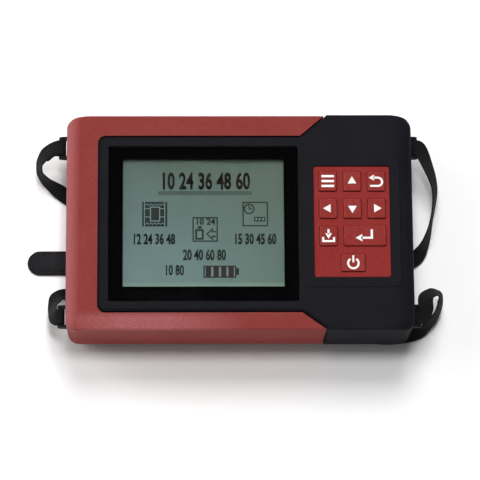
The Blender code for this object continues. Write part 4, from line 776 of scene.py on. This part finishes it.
# Webbing legs of the hand strap
# Four flat woven nylon legs, each folded round the bar of its lug and sewn to itself. They turn
# on edge beside the case and run in under it to the leather palm band.
webbing_width = 10.0 * mm
webbing_thickness = 1.2 * mm
rib_depth = 0.09 * mm
ribs = 7
round_share = 0.6
sewn_gap = 1.5
steps_between = 9
yarn = 0.75 * mm
weave_depth = 0.22 * mm
lug_bar = {"left_far": (-116.4, 57.1, -1), "left_near": (-116.4, -57.1, -1),
           "right_far": (116.9, 57.1, 1), "right_near": (116.9, -57.1, 1)}
bar_height = 21.0
bar_wrap = 2.0
sewn_stations = {"left_far": 3, "left_near": 2, "right_far": 1, "right_near": 1}
leg_routes = {
    "left_far": [
        ((-119.3, 57.2, 22.8), (0, 1, 0)),
        ((-124.2, 56.0, 20.8), (-0.35, 0.85, -0.35)),
        ((-128.6, 53.4, 17.3), (-0.6, 0.5, -0.62)),
        ((-131.8, 49.2, 13.0), (-0.42, 0.12, -0.9)),
        ((-131.6, 43.8, 8.8), (-0.25, -0.08, -0.97)),
        ((-127.9, 39.2, 4.6), (-0.26, -0.26, -0.93)),
        ((-123.0, 36.0, 0.7), (-0.35, -0.5, -0.78)),
        ((-117.0, 32.2, -3.2), (-0.55, -0.8, -0.22)),
        ((-108.0, 26.0, -5.0), (-0.55, -0.83, 0)),
        ((-99.0, 19.5, -5.1), (-0.62, -0.78, 0)),
        ((-89.0, 11.5, -2.95), (-0.62, -0.78, 0)),
        ((-79.0, 3.5, -2.75), (-0.62, -0.78, 0)),
        ((-68.0, -5.0, -2.75), (-0.62, -0.78, 0)),
    ],
    "left_near": [
        ((-119.3, -57.4, 22.6), (0, -1, 0)),
        ((-121.6, -54.6, 19.5), (-0.5, -0.6, -0.6)),
        ((-121.8, -49.6, 14.5), (-0.5, -0.1, -0.85)),
        ((-120.8, -44.8, 9.5), (-0.75, 0.1, -0.65)),
        ((-120.0, -40.8, 4.7), (-0.55, 0.5, -0.65)),
        ((-117.6, -38.2, 0.4), (-0.28, 0.7, -0.65)),
        ((-112.5, -37.2, -3.8), (-0.1, 0.97, -0.15)),
        ((-104.0, -37.5, -5.1), (0, 1, 0)),
        ((-96.0, -38.0, -5.1), (0, 1, 0)),
        ((-86.0, -37.0, -2.9), (-0.2, 1, 0)),
        ((-75.0, -32.0, -2.75), (-0.45, 0.9, 0)),
        ((-64.0, -25.0, -2.75), (-0.5, 0.86, 0)),
    ],
    "right_far": [
        ((120.0, 56.6, 22.9), (0.1, 1, 0)),
        ((122.8, 52.3, 21.6), (0.6, 0.75, -0.25)),
        ((126.0, 45.5, 18.5), (0.68, 0.42, -0.6)),
        ((129.0, 38.5, 15.5), (0.6, 0.2, -0.78)),
        ((130.8, 31.0, 12.8), (0.42, 0.05, -0.9)),
        ((130.6, 23.0, 10.0), (0.25, 0, -0.97)),
        ((129.0, 12.5, 6.8), (0.15, -0.03, -0.99)),
        ((126.6, 2.2, 3.1), (0.3, -0.12, -0.94)),
        ((123.1, -6.2, -0.5), (0.45, -0.4, -0.8)),
        ((117.5, -13.0, -3.9), (0.55, -0.8, -0.22)),
        ((108.0, -17.0, -5.1), (0.3, -0.95, 0)),
        ((98.0, -17.5, -5.1), (0, -1, 0)),
        ((84.0, -15.8, -4.6), (0, -1, 0)),
        ((76.5, -15.2, -2.85), (0, -1, 0)),
        ((68.0, -15.0, -2.75), (0, -1, 0)),
        ((58.0, -15.0, -2.75), (0, -1, 0)),
    ],
    "right_near": [
        ((120.3, -56.6, 24.1), (-0.3, 0.95, 0)),
        ((121.9, -52.5, 25.0), (-0.8, 0.6, 0)),
        ((121.8, -47.5, 24.5), (-0.9, 0.2, -0.1)),
        ((123.2, -43.3, 21.8), (-0.65, 0.5, -0.55)),
        ((128.4, -40.2, 17.5), (-0.13, 0.6, -0.8)),
        ((132.1, -41.7, 14.0), (0.36, 0.19, -0.91)),
        ((132.7, -45.9, 11.0), (0.32, -0.02, -0.95)),
        ((131.2, -51.3, 7.8), (0.29, -0.1, -0.95)),
        ((127.7, -56.7, 4.4), (0.29, -0.26, -0.92)),
        ((123.0, -60.7, 0.6), (0.26, -0.39, -0.88)),
        ((116.5, -63.2, -3.4), (0.16, -0.97, -0.2)),
        ((108.0, -65.0, -5.1), (0.1, -1, 0)),
        ((94.0, -65.5, -5.1), (0, -1, 0)),
        ((77.0, -62.0, -5.1), (-0.5, -0.85, 0)),
        ((62.0, -46.0, -5.1), (-0.8, -0.6, 0)),
        ((50.0, -30.0, -2.85), (-0.85, -0.5, 0)),
        ((42.0, -19.0, -2.75), (-0.8, -0.6, 0)),
    ],
}

# Woven nylon: ribs along the length from the mesh's own UV map, in metres, with a fine diagonal
woven, tree, output = empty_material("black nylon webbing")
weave_map = tree.nodes.new("ShaderNodeUVMap")
weave_map.uv_map = "weave"
along, across, _ = parted(tree, weave_map.outputs[0])
zigzag = math_node(tree, "PINGPONG", across, 2 * yarn)
slanted = math_node(tree, "ADD", along, zigzag)
twill = math_node(tree, "SINE", math_node(tree, "MULTIPLY", slanted, 2 * math.pi / yarn))
twill = ranged(tree, twill, -1.0, 1.0)
warp = math_node(tree, "SINE", math_node(tree, "MULTIPLY", across, 2 * math.pi / yarn))
height = math_node(tree, "MULTIPLY", twill, ranged(tree, warp, -1.0, 1.0, 0.5, 1.0))
blotches = noise_node(tree, object_place(tree), 260.0, 4.0)
# Painted shade in the weave: the low parts of the twill are painted darker and the raised yarns paler
colour = mixed(tree, height, (0.0015, 0.0015, 0.002), (0.007, 0.007, 0.009))
colour = mixed(tree, ranged(tree, blotches, 0.5, 0.8, 0.0, 0.3), colour, (0.018, 0.018, 0.02))
shader = surfaced(tree, output, colour, ranged(tree, height, 0.0, 1.0, 0.85, 0.55), height,
                  weave_depth, 0.15)
shader.inputs["Sheen Weight"].default_value = 0.02
shader.inputs["Sheen Roughness"].default_value = 0.4


def leg_stations(name):
    """Stations of one leg as centre and outer edge direction, from its sewn end inwards."""
    x, y, side = lug_bar[name]
    outer = -1 if name == "left_near" else 1
    route = [(Vector(place), Vector(edge).normalized()) for place, edge in leg_routes[name]]
    arc = []
    for angle in range(-90, -271, -30):
        turn = math.radians(angle)
        arc.append((Vector((x + side * bar_wrap * math.cos(turn), y,
                            bar_height + bar_wrap * math.sin(turn))), Vector((0, outer, 0))))
    leaving = route[0][0]
    sewn = [(Vector((leaving.x, leaving.y, arc[0][0].z)), route[0][1])]
    for (place, edge), (following, _) in zip(route[1:sewn_stations[name]], route[2:]):
        normal = (following - place).cross(edge).normalized()
        sewn.append((place - normal * outer * side * sewn_gap, edge))
    return sewn[::-1] + arc + route


def eased(stations, pieces):
    """A Catmull-Rom path through stations of any number of values."""
    points = [Vector(station) for station in stations]
    points = [2 * points[0] - points[1], *points, 2 * points[-1] - points[-2]]
    path = []
    for a, b, c, d in zip(points, points[1:], points[2:], points[3:]):
        for step in range(pieces):
            t = step / pieces
            path.append(0.5 * (2 * b + (c - a) * t + (2 * a - 5 * b + 4 * c - d) * t * t
                               + (3 * b - a - 3 * c + d) * t ** 3))
    path.append(points[-2])
    return path


def webbing_section():
    """The strap's section as (across, up) points, ribbed on both faces and round at its edges."""
    half, thick = webbing_width / 2, webbing_thickness / 2
    rounding = thick * round_share
    section = []
    count = ribs * 4
    for face in (1, -1):
        for i in range(count + 1):
            share = -1 + 2 * i / count
            rib = rib_depth * (0.5 - 0.5 * math.cos(2 * math.pi * i / 4))
            section.append((face * share * (half - rounding), face * (thick - rib_depth + rib)))
        for turn in (50, 0, -50):
            reach = half - rounding + rounding * math.cos(math.radians(turn))
            section.append((face * reach, face * (thick - rib_depth)
                            * math.sin(math.radians(turn))))
    return section


def built(name, shape):
    """A new object out of a finished bmesh."""
    data = bpy.data.meshes.new(name)
    shape.to_mesh(data)
    shape.free()
    piece = bpy.data.objects.new(name, data)
    bpy.context.scene.collection.objects.link(piece)
    return piece


def swept_webbing(name):
    """One leg as a closed woven strip with a UV map of metres along and across."""
    stations = [(*centre * mm, *edge) for centre, edge in leg_stations(name)]
    path = eased(stations, steps_between)
    centres = [Vector(point[:3]) for point in path]
    section = webbing_section()
    strip = bmesh.new()
    weave = strip.loops.layers.uv.new("weave")
    rings, travelled = [], [0.0]
    for i, centre in enumerate(centres):
        here = centres[min(i + 1, len(centres) - 1)] - centres[max(i - 1, 0)]
        here.normalize()
        edge = Vector(path[i][3:])
        across = (edge - here * edge.dot(here)).normalized()
        normal = here.cross(across).normalized()
        rings.append([strip.verts.new(centre + across * a + normal * b) for a, b in section])
        if i:
            travelled.append(travelled[-1] + (centre - centres[i - 1]).length)
    girth = [0.0]
    for i in range(len(section)):
        a, b = Vector(section[i]), Vector(section[(i + 1) % len(section)])
        girth.append(girth[-1] + (b - a).length)
    for i in range(len(rings) - 1):
        for j in range(len(section)):
            k = (j + 1) % len(section)
            face = strip.faces.new((rings[i][j], rings[i][k], rings[i + 1][k], rings[i + 1][j]))
            face.smooth = True
            corners = ((i, j), (i, j + 1), (i + 1, j + 1), (i + 1, j))
            for loop, (row, column) in zip(face.loops, corners):
                loop[weave].uv = (travelled[row], girth[column])
    for ring in (rings[0], rings[-1]):
        strip.faces.new(ring)
    bmesh.ops.recalc_face_normals(strip, faces=strip.faces)
    return built(name, strip)


for name in lug_bar:
    leg = placed(swept_webbing(name), f"webbing_{name}", woven)
    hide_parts(f"strap_{name}")


# Leather palm band
# Two layers of black grained leather over thin foam, turned in at the edge and stitched round
# its border. Its rounded tongue sticks out under the left end of the case.
band_low, band_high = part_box("palm_band")
band_y = (band_low.y + band_high.y) / 2
tongue_half = 8.25 * mm
palm_half = 18.0 * mm
neck_x = (-106 * mm, 56 * mm)
palm_x = (-82 * mm, 34 * mm)
band_profile = [(0.0, 1.0), (0.15, 0.45), (0.55, 0.12), (1.1, 0.0), (1.55, 0.02), (1.95, 0.30),
                (2.15, 0.34), (2.4, 0.28), (2.9, 0.04), (4.2, -0.02), (6.0, -0.03)]
stitch_inset = 2.15 * mm
stitch_pitch = 3.0 * mm
stitch_length = 2.1 * mm
stitch_radius = 0.22 * mm
stitch_sunk = 0.12 * mm
outline_step = 2 * mm
softening_passes = 6
leather_depth = 0.12 * mm

leather, tree, output = empty_material("black leather")
place = object_place(tree)
pores = tree.nodes.new("ShaderNodeTexVoronoi")
pores.feature = "DISTANCE_TO_EDGE"
pores.inputs["Scale"].default_value = 900.0
tree.links.new(place, pores.inputs["Vector"])
pebble = ranged(tree, pores.outputs["Distance"], 0.0, 0.35)
creases = noise_node(tree, place, 140.0, 5.0)
height = math_node(tree, "ADD", pebble, math_node(tree, "MULTIPLY", creases, 0.8))
# Painted shade in the grain: the grooves between the pebbles are painted darker than their tops
colour = mixed(tree, pebble, (0.004, 0.004, 0.005), (0.010, 0.010, 0.012))
colour = mixed(tree, ranged(tree, creases, 0.5, 0.75, 0.0, 0.35), colour, (0.028, 0.028, 0.032))
surfaced(tree, output, colour, ranged(tree, pebble, 0.0, 1.0, 0.72, 0.48), height,
         leather_depth, 0.12)

thread = plastic("black thread", (0.016, 0.016, 0.020), (0.07, 0.07, 0.078), 0.6, grain=5000.0,
                 depth=0.03, wear_and_highlight=0.4, shine=0.3)


def band_outline():
    """The band's edge in plan, counter-clockwise, with points every couple of millimetres."""
    tip_x, end_x = band_low.x + tongue_half, band_high.x - tongue_half
    corners = arc_points((tip_x / mm, band_y / mm), tongue_half / mm, 90, 270, 24)
    sides = [(neck_x[0], -tongue_half), (palm_x[0], -palm_half), (palm_x[1], -palm_half),
             (neck_x[1], -tongue_half)]
    corners += [(x / mm, (band_y + reach) / mm) for x, reach in sides]
    corners += arc_points((end_x / mm, band_y / mm), tongue_half / mm, 270, 450, 24)
    corners += [(x / mm, (band_y - reach) / mm) for x, reach in sides[::-1]]
    outline = []
    for i, corner in enumerate(corners):
        start, end = Vector(corner) * mm, Vector(corners[(i + 1) % len(corners)]) * mm
        pieces = max(1, round((end - start).length / outline_step))
        outline += [start.lerp(end, step / pieces) for step in range(pieces)]
    for _ in range(softening_passes):
        outline = [(outline[i - 1] + 2 * point + outline[(i + 1) % len(outline)]) / 4
                   if abs(point.x) < abs(band_low.x) - 10 * mm else point
                   for i, point in enumerate(outline)]
    return outline


def drawn_in(outline, distance):
    """The outline moved inwards by a distance."""
    moved = []
    for i, point in enumerate(outline):
        along = (outline[(i + 1) % len(outline)] - outline[i - 1]).normalized()
        moved.append(point - Vector((along.y, -along.x)) * distance)
    return moved


outline = band_outline()
band_middle = (band_low.z + band_high.z) / 2
half_thickness = (band_high.z - band_low.z) / 2
skin = bmesh.new()
rings = []
for side in (1, -1):
    profile = band_profile if side == 1 else band_profile[::-1]
    for inset, fall in profile:
        if side == -1 and inset == 0.0:
            continue
        z = band_middle + side * half_thickness * (1 - (fall if side == 1 else max(fall, 0)))
        rings.append([skin.verts.new((*point, z)) for point in drawn_in(outline, inset * mm)])
order = rings[len(band_profile):] + rings[:len(band_profile)]
for low_ring, high_ring in zip(order, order[1:]):
    for i in range(len(outline)):
        j = (i + 1) % len(outline)
        skin.faces.new((low_ring[i], low_ring[j], high_ring[j], high_ring[i])).smooth = True
for ring in (order[0], order[-1]):
    skin.faces.new(ring).smooth = True
bmesh.ops.recalc_face_normals(skin, faces=skin.faces)
band = placed(built("band", skin), "leather_palm_band", leather)
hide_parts("palm_band")

seam = drawn_in(outline, stitch_inset)
stitches = bmesh.new()
carried = 0.0
for i, point in enumerate(seam):
    following = seam[(i + 1) % len(seam)]
    length = (following - point).length
    along = (following - point).normalized()
    while carried < length:
        middle = point + along * carried
        turn = Matrix.Rotation(math.atan2(along.y, along.x), 4, "Z")
        stitch = bmesh.ops.create_uvsphere(stitches, u_segments=8, v_segments=6, radius=1.0)
        shape = (Matrix.Translation((*middle, band_high.z - stitch_sunk)) @ turn
                 @ Matrix.Diagonal((stitch_length / 2, stitch_radius, stitch_radius, 1)))
        bmesh.ops.transform(stitches, matrix=shape, verts=stitch["verts"])
        carried += stitch_pitch
    carried -= length
for face in stitches.faces:
    face.smooth = True
placed(built("stitching", stitches), "palm_band_stitching", thread)


# Sockets in the far wall, their nut, the cover's pin and the case screws
# Nickel-plated and zinc-plated metal, turned and stamped, with fine scratches, and a black
# moulded charging socket.
def metal(name, colour, roughness, streak=2500.0):
    """Plated metal with fine scratches and slightly uneven gloss."""
    material, tree, output = empty_material(name)
    place = object_place(tree)
    scratches = noise_node(tree, place, streak, 4.0)
    patches = noise_node(tree, place, 160.0, 3.0)
    tone = mixed(tree, ranged(tree, patches, 0.35, 0.7), colour,
                 tuple(0.72 * value for value in colour))
    rough = ranged(tree, scratches, 0.3, 0.7, roughness - 0.06, roughness + 0.12)
    shader = surfaced(tree, output, tone, rough, scratches, 0.01 * mm)
    shader.inputs["Metallic"].default_value = 1.0
    return material


nickel = metal("nickel plate", (0.60, 0.57, 0.51), 0.28)
zinc = metal("zinc plate", (0.55, 0.56, 0.58), 0.36)
dress(nickel, "probe_socket", "socket_nut")
dress(zinc, "data_socket", "cover_pin", *(f"case_screw_{i}" for i in range(1, 7)))
dress(lug_plastic, "charge_socket")


# Inside the case: boards, light guide, bezel, buzzer, key mat and cells in their tray
# Glass-fibre boards under green solder mask, a white diffuser behind a black bezel, a grey
# silicone mat and six cells in shrunk plastic sleeves, between nickel strips in a black tray.
board_green = plastic("green solder mask", (0.012, 0.085, 0.035), (0.05, 0.16, 0.08), 0.35,
                      grain=700.0, depth=0.01, wear_and_highlight=0.5)
diffuser = plastic("white diffuser", (0.78, 0.80, 0.78), (0.85, 0.86, 0.84), 0.6,
                   grain=1200.0, depth=0.005, wear_and_highlight=0.2)
silicone = plastic("grey silicone", (0.24, 0.24, 0.25), (0.34, 0.34, 0.35), 0.65,
                   grain=500.0, depth=0.01, wear_and_highlight=0.3)
sleeve = plastic("blue cell sleeve", (0.03, 0.085, 0.22), (0.2, 0.25, 0.36), 0.3,
                 grain=600.0, depth=0.004, wear_and_highlight=0.5)
dress(nickel, "contact_strip_left", "contact_strip_right")
dress(lug_plastic, "buzzer", "battery_tray", "display_bezel")
dress(board_green, "main_board", "key_board", "display_board")
dress(diffuser, "display_backlight")
dress(silicone, "key_mat")
dress(sleeve, *(f"battery_cell_{i}" for i in range(1, 7)))
